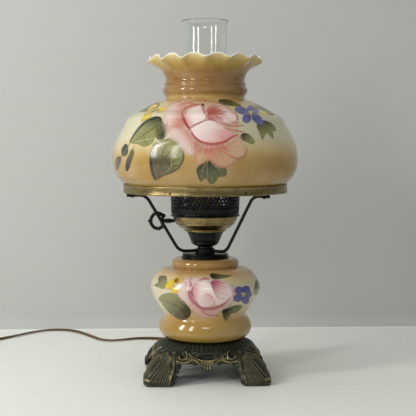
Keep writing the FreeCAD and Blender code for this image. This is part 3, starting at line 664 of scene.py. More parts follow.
# Five round petals round a speckled middle.
def paintViolet(canvas, x, z, petals, deep, pale):
    for across, along, angle, size in petals:
        turn = np.radians(angle)
        tip = np.array((math.cos(turn), math.sin(turn))) * size
        side = np.array((-tip[1], tip[0])) / size * across
        middle = np.array((x, z))
        outline = [middle + tip * 0.12, middle + tip * 0.45 + side, middle + tip * 0.85 + side * 0.8,
                   middle + tip * along, middle + tip * 0.85 - side * 0.8, middle + tip * 0.45 - side]
        canvas.fill(outline, deep, pale, middle, middle + tip * 1.1, soft=0.6, streaks=0.35)
    golden = [(x - 1.6, z + 1.2), (x + 1.5, z + 1.4), (x, z - 1.5), (x + 2.2, z - 0.6), (x - 0.4, z + 2.4)]
    canvas.spots(golden, enamel["yellow"], 1.7)
    canvas.spots([(x, z), (x - 1.9, z - 0.8), (x + 1.0, z - 2.6), (x + 2.9, z + 0.9)], enamel["black"], 1.2)
    canvas.spots([(x - 2.6, z + 2.3), (x + 3.1, z + 2.4), (x - 0.9, z - 2.7)], enamel["cream"], 1.1)


def paintShadeLeaves(canvas):
    e, fill, stroke = enamel, canvas.fill, canvas.stroke
    fill([(-104, 26), (-94, 33), (-80, 39), (-73, 38), (-79, 31), (-92, 27)], e["moss"], e["leaf"],
         (-76, 38), (-100, 28), soft=1.2)
    for petal in ([(-77, 26), (-71, 32), (-63, 33), (-65, 28), (-73, 25)],
                  [(-102, 11), (-96, 20), (-86, 23), (-88, 17), (-98, 12)],
                  [(-97, 21), (-90, 28), (-81, 30), (-84, 24), (-92, 20)],
                  [(-92, 29), (-84, 36), (-76, 37), (-79, 31), (-86, 28)]):
        fill(petal, e["yellow"], e["gold"], petal[1], petal[4], soft=0.7, streaks=0.4)
    stroke([(-90, 24), (-82, 27), (-72, 30)], e["brown"], 1.6)
    stroke([(-86, 29), (-80, 32), (-74, 34)], e["brown"], 1.3)
    fill([(77, 35), (86, 35), (98, 28), (108, 21), (96, 23), (86, 28)], e["moss"], e["leaf"], (80, 35),
         (104, 23), soft=1.0)
    fill([(75, 34), (83, 34), (91, 28), (99, 21), (90, 21), (82, 26)], e["yellow"], e["gold"], (92, 22),
         (80, 32), soft=0.7)
    stroke([(78, 33), (86, 31), (93, 27)], e["brown"], 1.4)
    fill([(-120, -22), (-110, -6), (-96, 9), (-80, 17), (-71, 17), (-66, 7), (-61, 4), (-62, -8),
          (-67, -18), (-75, -18), (-80, -14), (-84, -23), (-96, -29), (-107, -25)], e["darkLeaf"],
         e["sage"], (-84, 20), (-88, -6), soft=0.8, streaks=0.3)
    fill([(-78, 8), (-70, 6), (-62, 3), (-63, -9), (-68, -17), (-75, -17), (-79, -10)], e["leaf"],
         e["darkLeaf"], (-79, 0), (-62, -6), soft=2.0)
    stroke([(-120, -22), (-110, -6), (-96, 9), (-80, 17), (-71, 16)], e["darkLeaf"], 3.4, soft=1.0)
    stroke([(-113, -21), (-98, -10), (-80, 2), (-71, 13)], e["moss"], 1.3)
    stroke([(-98, -10), (-96, -20), (-90, -26)], e["moss"], 1.0)
    stroke([(-112, -22), (-98, -19), (-84, -16)], e["cream"], 1.2, cover=0.4)
    fill([(-84, -31), (-80, -23), (-69, -20), (-55, -15), (-44, -19), (-36, -31), (-35, -48), (-42, -62),
          (-55, -71), (-67, -75), (-79, -82), (-84, -73), (-87, -58), (-86, -43)], e["moss"], e["sage"],
         (-76, -64), (-52, -24), soft=0.9, streaks=0.3)
    fill([(-80, -46), (-66, -44), (-56, -48), (-53, -60), (-58, -70), (-68, -74), (-79, -80), (-83, -66)],
         e["earth"], e["moss"], (-78, -76), (-60, -48), soft=3.0, cover=0.85)
    stroke([(-82, -27), (-86, -43), (-86, -58), (-83, -73), (-79, -81)], e["darkLeaf"], 4.5, soft=1.2)
    stroke([(-36, -34), (-35, -48), (-42, -62), (-54, -71)], e["darkLeaf"], 2.2, soft=1.0, cover=0.7)
    stroke([(-79, -73), (-69, -58), (-57, -39)], e["umber"], 1.4)
    stroke([(-54, -46), (-55, -62), (-69, -73)], e["sage"], 1.3)
    # Painted highlight: the soft cream streak along the top of the big leaf marks where the windows'
    # reflection lies on the glass.
    stroke([(-78, -20), (-70, -24), (-58, -22)], e["cream"], 2.6, soft=1.4, cover=0.6)
    fill([(4, -46), (-6, -56), (-13, -65), (-10, -77), (-7, -84), (0, -79), (7, -87), (14, -87), (21, -77),
          (31, -76), (33, -67), (25, -60), (12, -52)], e["darkLeaf"], e["leaf"], (4, -50), (14, -88),
         soft=0.8, streaks=0.35)
    for line in ([(4, -48), (3, -62), (4, -80)], [(5, -50), (-4, -64), (-9, -80)],
                 [(6, -50), (18, -62), (30, -70)]):
        stroke(line, e["sage"], 1.3, cover=0.7)
    stroke([(-6, -56), (-13, -65), (-10, -77), (-7, -84)], e["darkLeaf"], 2.4, soft=0.8)
    stroke([(12, -52), (25, -60), (33, -67)], e["darkLeaf"], 2.6, soft=0.9)
    fill([(55, -12), (60, -8), (69, -10), (77, -20), (75, -25), (65, -22), (57, -18)], e["darkLeaf"],
         e["sage"], (58, -8), (72, -20), soft=0.7)
    fill([(81, 5), (86, 10), (98, 10), (108, 4), (111, -4), (106, -5), (107, -17), (100, -10), (95, -8),
          (90, -18), (85, -6), (82, 0)], e["moss"], e["sage"], (92, 11), (98, -8), soft=0.8, streaks=0.4)
    stroke([(83, 8), (92, 11), (103, 8)], e["darkLeaf"], 2.0, soft=0.8)
    fill([(21, 40), (22, 45), (35, 45), (46, 41), (56, 35), (40, 35), (27, 37)], e["darkLeaf"], e["leaf"],
         (23, 43), (50, 38), soft=0.8)
    for bud in ([(-133, -33), (-127, -25), (-123, -28), (-123, -39), (-128, -44), (-132, -42)],
                [(-127, -60), (-123, -45), (-117, -40), (-118, -52), (-121, -63), (-125, -68)]):
        fill(bud, e["black"], e["slate"], bud[0], bud[3], soft=0.7)
    fill([(-120, -38), (-115, -34), (-113, -38), (-116, -48), (-120, -58)], e["leaf"], e["moss"],
         (-114, -36), (-119, -56), soft=0.7)
    fill([(-143, -56), (-140, -46), (-134, -46), (-136, -58), (-141, -66)], e["moss"], e["slate"],
         (-136, -48), (-141, -62), soft=0.8)
    stroke([(-120, -24), (-125, -32), (-134, -45)], e["leaf"], 1.2)
    stroke([(-112, -27), (-117, -36), (-121, -46)], e["leaf"], 1.2)


def paintShadeRose(canvas):
    e, fill, stroke = enamel, canvas.fill, canvas.stroke
    fill([(-64, 19), (-55, 38), (-32, 45), (-6, 40), (21, 39), (40, 30), (49, 13), (52, 0), (57, -20),
          (65, -33), (56, -46), (40, -58), (21, -61), (2, -46), (-13, -56), (-19, -46), (-36, -31),
          (-44, -16), (-61, -8), (-66, 5)], e["blush"], tone(228, 186, 158), (-20, 20), (30, -56), soft=4.0,
         cover=0.5, streaks=0.1)
    fill([(-65, 21), (-59, 34), (-44, 40), (-29, 35), (-34, 21), (-36, 2), (-52, 1), (-63, 9)], e["salmon"],
         e["petal"], (-35, 14), (-56, 26), soft=2.6, cover=0.72, streaks=0.25)
    fill([(-62, -8), (-44, 0), (-29, -4), (-19, -20), (-17, -39), (-29, -40), (-44, -23), (-59, -14)],
         e["salmon"], e["petal"], (-24, -4), (-42, -18), soft=3.0, cover=0.6, streaks=0.25)
    stroke([(-62, 20), (-60, 8), (-66, 2)], e["salmon"], 1.4, cover=0.6)
    stroke([(-64, 8), (-56, -2), (-62, -8), (-50, -10)], e["salmon"], 1.0, cover=0.5)
    stroke([(-26, 40), (-13, 44), (6, 42), (25, 38), (42, 28)], e["salmon"], 1.8, cover=0.45)
    stroke([(-46, 35), (-29, 40), (-15, 37), (-8, 36)], e["salmon"], 2.4, soft=1.0, cover=0.8)
    stroke([(-56, 36), (-36, 45), (-14, 50)], e["salmon"], 1.2, cover=0.5)
    stroke([(-2, 38), (0, 44), (-8, 48)], e["salmon"], 1.2, cover=0.6)
    fill([(2, 28), (10, 35), (22, 34), (36, 29), (46, 22), (50, 13), (44, 9), (29, 9), (14, 9), (4, 14)],
         e["deepRose"], e["petal"], (5, 20), (34, 20), soft=1.6, cover=0.9, streaks=0.5)
    for tip in ((18, 33), (26, 30), (32, 26), (33, 20), (28, 13)):
        middle = ((6 + tip[0]) / 2, (22 + tip[1]) / 2 + 1)
        stroke([(5, 22), middle, tip], e["deepRose"], 3.4, soft=1.2, cover=0.75)
    stroke([(40, 25), (49, 21), (49, 12), (40, 8)], e["salmon"], 2.2, soft=0.7, cover=0.85)
    fill([(-31, 20), (-28, 28), (-17, 33), (-8, 36), (0, 27), (2, 17), (-9, 10), (-21, 5), (-27, 0),
          (-32, 9)], e["pink"], e["shell"], (-33, 12), (-18, 18), soft=0.9, streaks=0.15)
    fill([(-9, 35), (-5, 35), (1, 27), (3, 18), (-2, 20), (-6, 28)], e["pink"], e["blush"], (-2, 32),
         (-6, 18), soft=1.2, cover=0.8)
    stroke([(-37, 24), (-35, 15), (-30, 5), (-23, -4)], e["deepRose"], 5.0, soft=1.3)
    stroke([(-36, 22), (-33, 12), (-27, 2), (-22, -5)], e["wine"], 2.0, soft=0.6)
    stroke([(-36, 26), (-30, 33), (-18, 36), (-8, 37)], e["deepRose"], 2.2, soft=0.9)
    fill([(-24, -2), (-9, 7), (2, 12), (14, 10), (27, 2), (37, -6), (44, -11), (33, -21), (17, -25),
          (2, -23), (-13, -16), (-21, -8)], e["shell"], e["pink"], (-6, 4), (24, -34), soft=0.8,
         streaks=0.1)
    fill([(12, -8), (20, -3), (30, -5), (26, -16), (14, -20), (4, -18)], e["pink"], e["petal"], (30, -4),
         (4, -18), soft=3.0, cover=0.55, streaks=0.3)
    stroke([(-23, -3), (-17, -14), (-6, -22), (12, -25), (29, -22), (40, -15), (51, -10)], e["deepRose"],
           4.2, soft=1.1)
    stroke([(-25, -1), (-18, -13), (-8, -20)], e["magenta"], 2.2, soft=0.9, cover=0.7)
    stroke([(-24, 1), (-9, 9), (8, 14)], e["magenta"], 1.7, cover=0.8)
    stroke([(-5, 34), (-2, 26), (2, 17)], e["wine"], 1.6)
    stroke([(8, 26), (3, 20), (-1, 14)], e["wine"], 1.3)
    fill([(-17, -22), (-6, -27), (12, -28), (10, -46), (-6, -56), (-13, -56), (-17, -43)], e["deepRose"],
         tone(222, 172, 134), (0, -24), (-2, -46), soft=2.4, cover=0.65, streaks=0.3)
    fill([(10, -28), (29, -27), (44, -20), (53, -14), (58, -23), (65, -33), (62, -43), (52, -46), (40, -43),
          (27, -37)], e["salmon"], tone(226, 186, 152), (22, -26), (50, -38), soft=2.2, cover=0.66,
         streaks=0.3)
    fill([(0, -30), (14, -30), (30, -38), (44, -46), (44, -56), (30, -61), (14, -56), (4, -46)],
         e["salmon"], tone(220, 172, 128), (12, -30), (26, -54), soft=2.4, cover=0.5, streaks=0.3)
    stroke([(-20, -28), (-16, -44), (-11, -57)], e["salmon"], 1.8, cover=0.7)
    stroke([(24, -34), (38, -43), (52, -48), (62, -43), (66, -32)], e["salmon"], 2.2, cover=0.8)
    stroke([(2, -46), (14, -56), (27, -61), (39, -60), (45, -54)], e["salmon"], 1.8, cover=0.6)
    for tip in ((-12, -40), (-2, -44), (8, -42), (24, -40), (36, -36)):
        stroke([(tip[0] * 0.6 + 4, -26), tip], e["deepRose"], 2.6, soft=1.2, cover=0.45)
    stroke([(21, 10), (37, 4), (60, 4)], e["salmon"], 2.6, soft=0.7, cover=0.85)
    stroke([(29, 1), (42, -3), (61, -6)], e["salmon"], 2.4, soft=0.7, cover=0.8)
    stroke([(34, 14), (46, 8), (56, 9)], e["salmon"], 1.6, cover=0.6)
    canvas.spots([(-5, 37), (-4, 36)], e["black"], 3.6)


def paintShade(canvas):
    paintShadeLeaves(canvas)
    paintShadeRose(canvas)
    paintViolet(canvas, 71, 24, [(5.5, 1.05, 165, 25), (6.5, 1.0, 235, 18), (6, 1.1, 318, 24),
                                 (5, 1.0, 95, 12), (5, 1.0, 18, 14)], enamel["indigo"], enamel["lilac"])


def paintFont(canvas):
    e, fill, stroke = enamel, canvas.fill, canvas.stroke
    fill([(-50, 12), (-42, 26), (-24, 31), (-9, 32), (9, 30), (26, 26), (39, 15), (42, 0), (36, -13),
          (24, -22), (9, -30), (-9, -33), (-24, -24), (-36, -11), (-46, 2)], e["petal"],
         tone(226, 182, 168), (0, 10), (0, -32), soft=3.0, cover=0.8, streaks=0.12)
    fill([(-78, -2), (-70, 5), (-55, 7), (-45, 2), (-35, -10), (-27, -21), (-29, -31), (-39, -36),
          (-49, -33), (-62, -23), (-72, -11)], e["sage"], e["moss"], (-66, 4), (-36, -30), soft=0.8,
         streaks=0.25)
    fill([(-45, -20), (-36, -12), (-28, -21), (-30, -31), (-39, -36), (-48, -33), (-50, -27)], e["moss"],
         e["umber"], (-46, -18), (-34, -34), soft=2.2, cover=0.8)
    stroke([(-78, -2), (-58, -10), (-47, -16), (-34, -22)], e["moss"], 1.5)
    stroke([(-72, -11), (-62, -23), (-49, -33), (-39, -36), (-30, -32)], e["earth"], 1.6, cover=0.8)
    fill([(-85, 19), (-79, 24), (-78, 32), (-72, 35), (-66, 33), (-65, 25), (-70, 14), (-78, 16)],
         e["moss"], e["sage"], (-80, 30), (-72, 18), soft=0.8, streaks=0.3)
    for across, along, size in ((-60, 18, 7.5), (-47, 27, 7.0), (-51, 11, 7.0), (-57, 24, 6.0)):
        ring = [(across + size * math.cos(a),
                 along + 0.72 * size * math.sin(a)) for a in np.linspace(0, 2 * math.pi, 7)[:-1]]
        fill(ring, e["yellow"], e["ochre"], (across - 4, along + 3), (across + 5, along - 4), soft=0.8)
    fill([(-52, 29), (-48, 31), (-43, 30), (-44, 25), (-49, 23), (-53, 25)], e["brown"], e["ochre"],
         (-51, 27), (-43, 27), soft=0.9)
    fill([(4, 37), (12, 38), (26, 36), (38, 35), (26, 31), (9, 29)], e["black"], e["leaf"], (6, 33),
         (28, 34), soft=0.8)
    fill([(24, -21), (34, -17), (45, -13), (55, -14), (47, -24), (37, -27), (30, -38), (25, -31)],
         e["darkLeaf"], e["leaf"], (30, -18), (40, -27), soft=0.8, streaks=0.3)
    fill([(74, 6), (75, 19), (78, 28), (83, 15), (80, 5)], e["darkLeaf"], e["sage"], (80, 24), (77, 8),
         soft=0.7)
    stroke([(-39, 31), (-34, 20), (-36, 6)], e["pink"], 2.6, soft=1.0, cover=0.7)
    stroke([(-47, 14), (-44, 2), (-36, -6)], e["blush"], 4.0, soft=1.6, cover=0.8)
    stroke([(-26, 33), (-28, 24), (-24, 20)], e["magenta"], 2.2, soft=0.8, cover=0.7)
    fill([(5, 25), (18, 27), (34, 18), (39, 4), (31, -9), (16, -14), (12, -4), (9, 10)], e["magenta"],
         e["petal"], (8, 20), (26, 6), soft=1.0, streaks=0.45)
    for tip in ((30, 14), (32, 4), (28, -4)):
        stroke([(12, 8), ((12 + tip[0]) / 2, tip[1] + 3), tip], e["pink"], 2.6, soft=1.2, cover=0.6)
    fill([(-21, 22), (-9, 25), (3, 22), (9, 10), (12, -4), (-1, -15), (-16, -10), (-23, 4)], e["pink"],
         e["shell"], (-24, 12), (-8, 12), soft=0.9, streaks=0.12)
    fill([(-16, -2), (-4, 6), (6, 4), (10, -4), (-1, -14), (-14, -10)], e["pink"], e["petal"], (8, 2),
         (-12, -10), soft=2.0, cover=0.7, streaks=0.4)
    stroke([(-26, 22), (-29, 8), (-24, -5), (-12, -16)], e["magenta"], 7.0, soft=2.0, cover=0.85)
    stroke([(-23, 18), (-25, 8), (-22, 0)], e["wine"], 2.6, soft=0.8)
    stroke([(-14, 27), (-4, 30), (4, 28)], e["magenta"], 3.2, soft=1.1, cover=0.85)
    stroke([(-20, -10), (-9, -18), (9, -18), (24, -12), (36, -3)], e["magenta"], 4.6, soft=1.4, cover=0.9)
    stroke([(-18, -16), (-4, -25), (12, -24)], e["pink"], 4.0, soft=1.8, cover=0.7)
    stroke([(-4, 6), (4, 4), (8, -4)], e["pink"], 1.8, cover=0.8)
    stroke([(-10, -20), (2, -29), (19, -29)], e["magenta"], 2.0, cover=0.75)
    stroke([(30, -4), (40, 2), (42, 12)], e["pink"], 2.2, soft=0.9, cover=0.8)
    stroke([(36, 20), (42, 16), (44, 6)], e["pink"], 1.6, cover=0.7)
    paintViolet(canvas, 57, 4, [(6.5, 1.05, 135, 16), (6.5, 1.05, 62, 15), (6, 1.05, 8, 13),
                                (6, 1.05, 210, 17), (6, 1.05, 292, 15)], enamel["indigo"], enamel["violet"])


def enamelFinish(name):
    paint = Finish(name)
    layer = paint.node("Attribute", {"attribute_name": "enamel"})
    cover = Link(paint, layer.socket.node.outputs["Alpha"])
    colour = Link(paint, layer.socket.node.outputs["Color"])
    hairs = paint.noise(1.3, 4, seed=3.0)
    colour = paint.mixed(hairs.between(0.5, 0.75) * 0.22, colour, tone(244, 236, 214))
    colour = paint.mixed(paint.noise(5, 3, seed=8.0).between(0.55, 0.8) * 0.25, colour, tone(70, 56, 34),
                         "SOFT_LIGHT")
    thick = paint.bump(hairs, 0.05)
    return paint.surface(colour=colour, alpha=cover, roughness=hairs * 0.14 + 0.16, normal=thick, coat=0.3,
                         coatRoughness=0.08)


enamelThickness = 0.12


# A fine skin just proud of the glass, painted and then trimmed to where the brush went. A point of the glass
# takes its place on the canvas in perspective from the eye, once, so the paint stays where it is on the glass
# and stretches towards the sides. The back is drawn in the same way from an eye behind the lamp.
def addEnamel(name, profile, foot, low, high, centre, painter, body, back=False, step=0.8):
    line = np.asarray(profile, float) + (0, foot)
    line = insideOf(line[(line[:, 1] > low) & (line[:, 1] < high)], -enamelThickness)
    along = np.concatenate([[0], np.cumsum(np.linalg.norm(np.diff(line, axis=0), axis=1))])
    rows = np.linspace(0, along[-1], int(along[-1] / step))
    radius = np.interp(rows, along, line[:, 0])
    height = np.interp(rows, along, line[:, 1])
    angles = np.linspace(-math.pi / 2, math.pi / 2, int(math.pi * radius.max() / step))
    turn, r = np.meshgrid(angles, radius, indexing="xy")
    z = np.repeat(height[:, None], len(angles), 1)
    nearer = eye["away"] / (eye["away"] - r * np.cos(turn))
    canvas = Canvas((r * np.sin(turn) * nearer - centre[0]).ravel(),
                    (eye["height"] + (z - eye["height"]) * nearer - centre[1]).ravel())
    painter(canvas)
    faces = np.array(gridFaces(len(radius), len(angles), closedColumns=False))
    faces = faces[(canvas.cover[faces] > 0.03).any(1)]
    used = np.unique(faces)
    renumber = np.zeros(len(canvas.cover), int)
    renumber[used] = np.arange(len(used))
    facing = math.radians(frontTurn - 90 + (180 if back else 0))
    places = np.stack([r * np.cos(turn + facing), r * np.sin(turn + facing), z], -1).reshape(-1, 3)
    piece = makePiece(name, places[used], renumber[faces].tolist(), body, enamelFinish(name + "Paint"),
                      slot="painted_opal_glass")
    layer = piece.data.color_attributes.new("enamel", "FLOAT_COLOR", "POINT")
    layer.data.foreach_set("color", np.column_stack([canvas.colour, canvas.cover])[used].ravel())
    return len(faces)


def addFlowers():
    dome, _ = shadeOutside()
    foot, belly, _ = fontOutside()
    glassFoot = shade["foot"]
    for side, back in (("Front", False), ("Back", True)):
        count = addEnamel("shadeFlowers" + side, dome, glassFoot, glassFoot + 14, glassFoot + 146.5,
                          (1, 391), paintShade, "shade", back)
        print("shade flowers", side, count, "faces")
        count = addEnamel("fontFlowers" + side, np.concatenate([foot, belly]), font["foot"],
                          font["foot"] + 26, font["foot"] + 113, (4, 122), paintFont, "stand", back,
                          step=0.6)
        print("font flowers", side, count, "faces")


addFlowers()
print("flowers")


# Old brass, or dark lacquer over brass that is rubbed bright where the layer named by wear is high.
def metalFinish(name, bare, aged, wear=None, worn=0.42, roughness=0.32, metallic=1.0, grain=0.05, dent=0.25,
                spun=0.0, specular=0.5):
    metal = Finish(name)
    cloud = metal.noise(11, 4)
    fine = metal.noise(0.9, 4, seed=3.0)
    streak = metal.noise(1.2, 3, stretch=(1, 1, 12), seed=5.0)
    amount = (cloud * 0.7 + fine * 0.3).between(worn, worn + 0.2)
    if wear is not None:
        amount = (1 - metal.node("Attribute", {"attribute_name": wear}, output=2).between(0.25, 0.85)
                  * (0.15 + fine * 0.6 + cloud.between(0.3, 0.6) * 0.55)).clamped() * (0.94 + amount * 0.06)
    colour = metal.mixed(amount, bare, aged)
    colour = metal.mixed(streak.between(0.5, 0.8) * 0.25, colour, aged)
    rough = roughness + fine * 0.16 + amount * 0.1
    normal = metal.bump(fine, grain, normal=metal.bump(cloud, dent))
    if spun:
        normal = metal.bump(metal.noise(0.7, 2, stretch=(0.02, 0.02, 1), seed=8.0), spun, normal=normal)
    return metal.surface(colour=colour, roughness=rough, metallic=metallic, normal=normal,
                         specular=specular)


base = {"half": 98.0, "rim": 61.5, "flutes": 60, "bandFoot": 73.0, "bandHeight": 49.5, "seat": 53.2,
        "top": highEnd("base_casting"), "seatDepth": 2.0, "wall": 4.4, "columns": 840, "skirtRows": 44,
        "arch": 57.0, "archHeight": 33.0, "padTop": highEnd("felt_pads")}


# How far each point lies from a smooth line, and how far along it the nearest place is.
def distanceToLine(u, z, points):
    line = smoothLine(points, 5) if len(points) > 2 else np.array(points, float)
    away = np.full(u.shape, 1e9)
    along = np.zeros(u.shape)
    count = len(line) - 1
    for i, ((ax, az), (bx, bz)) in enumerate(zip(line, line[1:])):
        d, part = distanceToRun(u, z, ax, az, bx, bz)
        along = np.where(d < away, (i + part) / count, along)
        away = np.minimum(away, d)
    return away, along


# The cast relief at u across and z up one side of the base: height in mm, and how much it is rubbed.
def baseRelief(u, z):
    height = np.zeros(u.shape)
    rub = np.zeros(u.shape)

    def ridge(points, width, rise, endWidth=None, shine=1.0):
        nonlocal height, rub
        away, along = distanceToLine(u, z, points)
        wide = width + (((endWidth or width) - width) * along)
        shape = np.exp(-(away / wide) ** 2)
        height = np.maximum(height, rise * shape)
        rub = np.maximum(rub, shine * shape ** 2.2)

    def hollow(across, up, wide, tall, depth):
        nonlocal height, rub
        shape = np.exp(-(((u - across) / wide) ** 2 + ((z - up) / tall) ** 2) ** 2)
        height = height * (1 - shape) - depth * shape
        rub = rub * (1 - shape) - 0.8 * shape

    for tip, bow in (((58.5, 6), -3), ((62.5, 5), -2.7), ((66.5, 5), -2.2), ((70.5, 5), -1.7),
                     ((74.5, 5), -1.1), ((78.5, 6), -0.5), ((82.5, 7), 0.2), ((86.5, 9), 0.9),
                     ((90.5, 12), 1.6), ((94, 16), 2.3), ((96, 22), 2.8), ((96, 29), 3.0), ((93, 35), 2.6),
                     ((88, 40), 2.0)):
        middle = ((52 + tip[0]) / 2 + bow, (48 + tip[1]) / 2 + abs(bow))
        start = (52 + 0.14 * (tip[0] - 52), 47 + 0.14 * (tip[1] - 47))
        ridge([start, middle, tip], 0.6, 1.5, 0.95, shine=0.75)
    ridge([(57, 5), (64, 8), (74, 9), (84, 10), (92, 13), (97, 17)], 1.0, 1.2, shine=0.45)
    ridge([(57, 4), (66, 3.2), (78, 3), (88, 4), (97, 7)], 2.2, 2.4, shine=0.5)
    ridge([(88, 9), (93, 10), (96, 12)], 2.0, 2.2, shine=1.0)
    ridge([(57, 12), (56, 16)], 1.8, 2.0, shine=1.0)
    ridge([(52, 49), (49.5, 40), (50.5, 28), (54, 16), (58, 6)], 1.5, 2.6, 2.6, shine=0.5)
    ridge([(48, 47), (46, 38), (46.5, 30)], 1.6, 1.8, shine=0.5)
    ridge([(50, 45), (45, 49), (38, 50), (31.5, 46), (32, 40), (38, 37.5), (43, 40.5), (41, 44)], 1.9, 2.6,
          1.0)
    ridge([(46, 35.5), (38, 33.5), (30, 34.5), (22, 37.5), (16, 35), (12, 32)], 1.7, 2.4, shine=0.9)
    ridge([(28, 46), (22, 41), (16, 39)], 1.5, 1.5, shine=0.6)
    ridge([(20, 47.5), (10, 46.5), (0, 47.5)], 1.6, 1.8, shine=0.4)
    ridge([(14, 38), (7, 36), (0, 35.4)], 1.7, 2.6, shine=1.0)
    for tip in ((12, 31), (8.5, 28), (4.5, 25.5), (0, 24.5)):
        ridge([(tip[0] * 0.3, 37), tip], 1.0, 2.0, 1.9, shine=0.8)
    for bead in (24.0, 27.6, 31.0):
        ridge([(bead, 37.6), (bead + 0.2, 40.2)], 1.1, 2.2, shine=1.0)
    hollow(37.5, 44.5, 4.4, 3.0, 3.6)
    hollow(0, 41.6, 12.0, 2.6, 3.0)
    hollow(19, 43.4, 3.0, 2.0, 1.8)
    hollow(54.5, 30, 1.2, 5, 0.8)
    return height, rub


def addBase():
    b = base
    angles = np.linspace(0, 2 * math.pi, b["columns"], endpoint=False)
    side = (angles + math.pi / 4) % (math.pi / 2) - math.pi / 4
    across = b["half"] * np.abs(np.tan(side))
    fall = np.clip((across - 44) / (b["arch"] - 44), 0, 1)
    lowEdge = b["archHeight"] * (1 - fall * fall * (3 - 2 * fall))
    lowEdge -= 8.5 * np.exp(-(across / 9.5) ** 4) + 2.0 * np.exp(-((across - 21) / 4.5) ** 2)
    lowEdge = np.maximum(lowEdge, b["padTop"])
    heights = np.array([b["bandHeight"], 46, 39, 31, 27, 22, 18, 13, 8.5, 5, 1.5])[::-1]
    widths = np.array([b["bandFoot"], 75.5, 79.5, 84, 87.5, 90.5, 91, 94, 97.6, 97.6, 94])[::-1]
    squareness = np.array([2.0, 2.5, 4.5, 8, 10, 12, 13, 14, 14, 14, 12])[::-1]
    rows = []
    top, seatFloor = b["top"], b["top"] - b["seatDepth"]
    for r, z in ((6.5, seatFloor), (40, seatFloor), (b["seat"], seatFloor), (b["seat"] + 0.3, top - 0.5),
                 (b["seat"] + 0.9, top), (57, top), (b["rim"] - 0.8, top)):
        rows.append((np.full(len(angles), r), np.full(len(angles), z)))
    for part in np.linspace(0, 1, 13):
        flute = 1.1 * math.sin(math.pi * part) ** 0.6 * (np.abs(np.cos(b["flutes"] / 2 * angles)) ** 1.6
                                                         - 0.55)
        r = b["rim"] + (b["bandFoot"] - b["rim"]) * part
        z = top + (b["bandHeight"] - top) * part
        rows.append((r + flute * 0.6, z + flute * 0.85))
    first = len(rows)
    for part in np.linspace(0, 1, b["skirtRows"])[1:]:
        z = b["bandHeight"] + (lowEdge - b["bandHeight"]) * part
        n = np.interp(z, heights, squareness)
        wide = np.interp(z, heights, widths)
        reach = wide / (np.abs(np.cos(angles)) ** n + np.abs(np.sin(angles)) ** n) ** (1 / n)
        rows.append((reach, z))
    radius = np.array([row[0] for row in rows])
    height = np.array([row[1] for row in rows])
    places = np.stack([radius * np.cos(angles), radius * np.sin(angles), height], -1)
    normals = np.cross(np.roll(places, -1, 1) - np.roll(places, 1, 1), np.gradient(places, axis=0))
    normals /= np.maximum(np.linalg.norm(normals, axis=2), 1e-9)[..., None]
    normals *= np.sign((normals * [[[1, 1, 0]]] * places).sum(2) + normals[..., 2] * 20)[..., None]
    lateral = np.where(np.abs(np.cos(angles)) > np.abs(np.sin(angles)), places[..., 1], places[..., 0])
    rise, rub = baseRelief(np.abs(lateral), height)
    fade = np.zeros(len(rows))
    fade[first:] = np.clip(np.arange(len(rows) - first) / 3.0, 0, 1)
    fade[:first] = 0
    outer = places + normals * (rise * fade[:, None])[..., None]
    limit = b["half"] - 0.2
    outer[..., :2] = np.clip(outer[..., :2], -limit, limit)
    outer[..., 2] = np.maximum(outer[..., 2], 0.4)
    rub = rub * fade[:, None]
    crest = np.abs(np.cos(b["flutes"] / 2 * angles)) ** 3
    rub[7:first] = 0.42 * crest[None] * np.sin(np.linspace(0.35, 2.6, first - 7))[:, None]
    edge = np.exp(-((len(rows) - 1 - np.arange(len(rows))) / 1.6) ** 2)
    rub = np.maximum(rub, 0.4 * edge[:, None] * (np.arange(len(rows))[:, None] >= first))
    picks = [len(rows) - 1 - k for k in (0, 2, 6, 12, 19, 26, 33, 40)] + [first + 1, first - 6, 6, 1, 0]
    inner = places[picks] - normals[picks] * b["wall"]
    inner[0] = places[-1] - normals[-1] * (b["wall"] - 0.6) + (0, 0, 0.2)
    inner[..., 2] = np.minimum(inner[..., 2], top - b["seatDepth"] - b["wall"])
    allPlaces = np.concatenate([outer, inner])
    wear = np.concatenate([rub, np.full(inner.shape[:2], -0.3)])
    finish = metalFinish("patinatedCastings", tone(164, 146, 100), tone(26, 38, 32), wear="bare",
                         roughness=0.3, metallic=0.5, grain=0.14)
    faces = gridFaces(len(allPlaces), b["columns"], closedRows=True)
    makePiece("baseCasting", allPlaces.reshape(-1, 3), faces, "stand", finish, slot="patina_iron",
              replaces=("base_casting",), bare=wear)
    return finish


patina = addBase()
print("base")

ring = {"radius": 130.0, "bottom": lowEnd("shade_ring"), "top": highEnd("shade_ring"), "sheet": 1.2,
        "ledge": 14.5, "seam": -105.9, "tabs": 7, "firstTab": -116.0}


def seamStep(radius, height, angle):
    past = (angle - math.radians(ring["seam"])) % (2 * math.pi)
    lap = np.where(past < 0.06, 0.45, 0.45 * np.exp(-(past - 0.06) * 30)) * (radius > ring["radius"] - 3)
    dents = 0.12 * np.sin(7 * angle + 1) + 0.08 * np.sin(17 * angle)
    return radius + lap - 0.4 + dents * (radius > ring["radius"] - 3), height


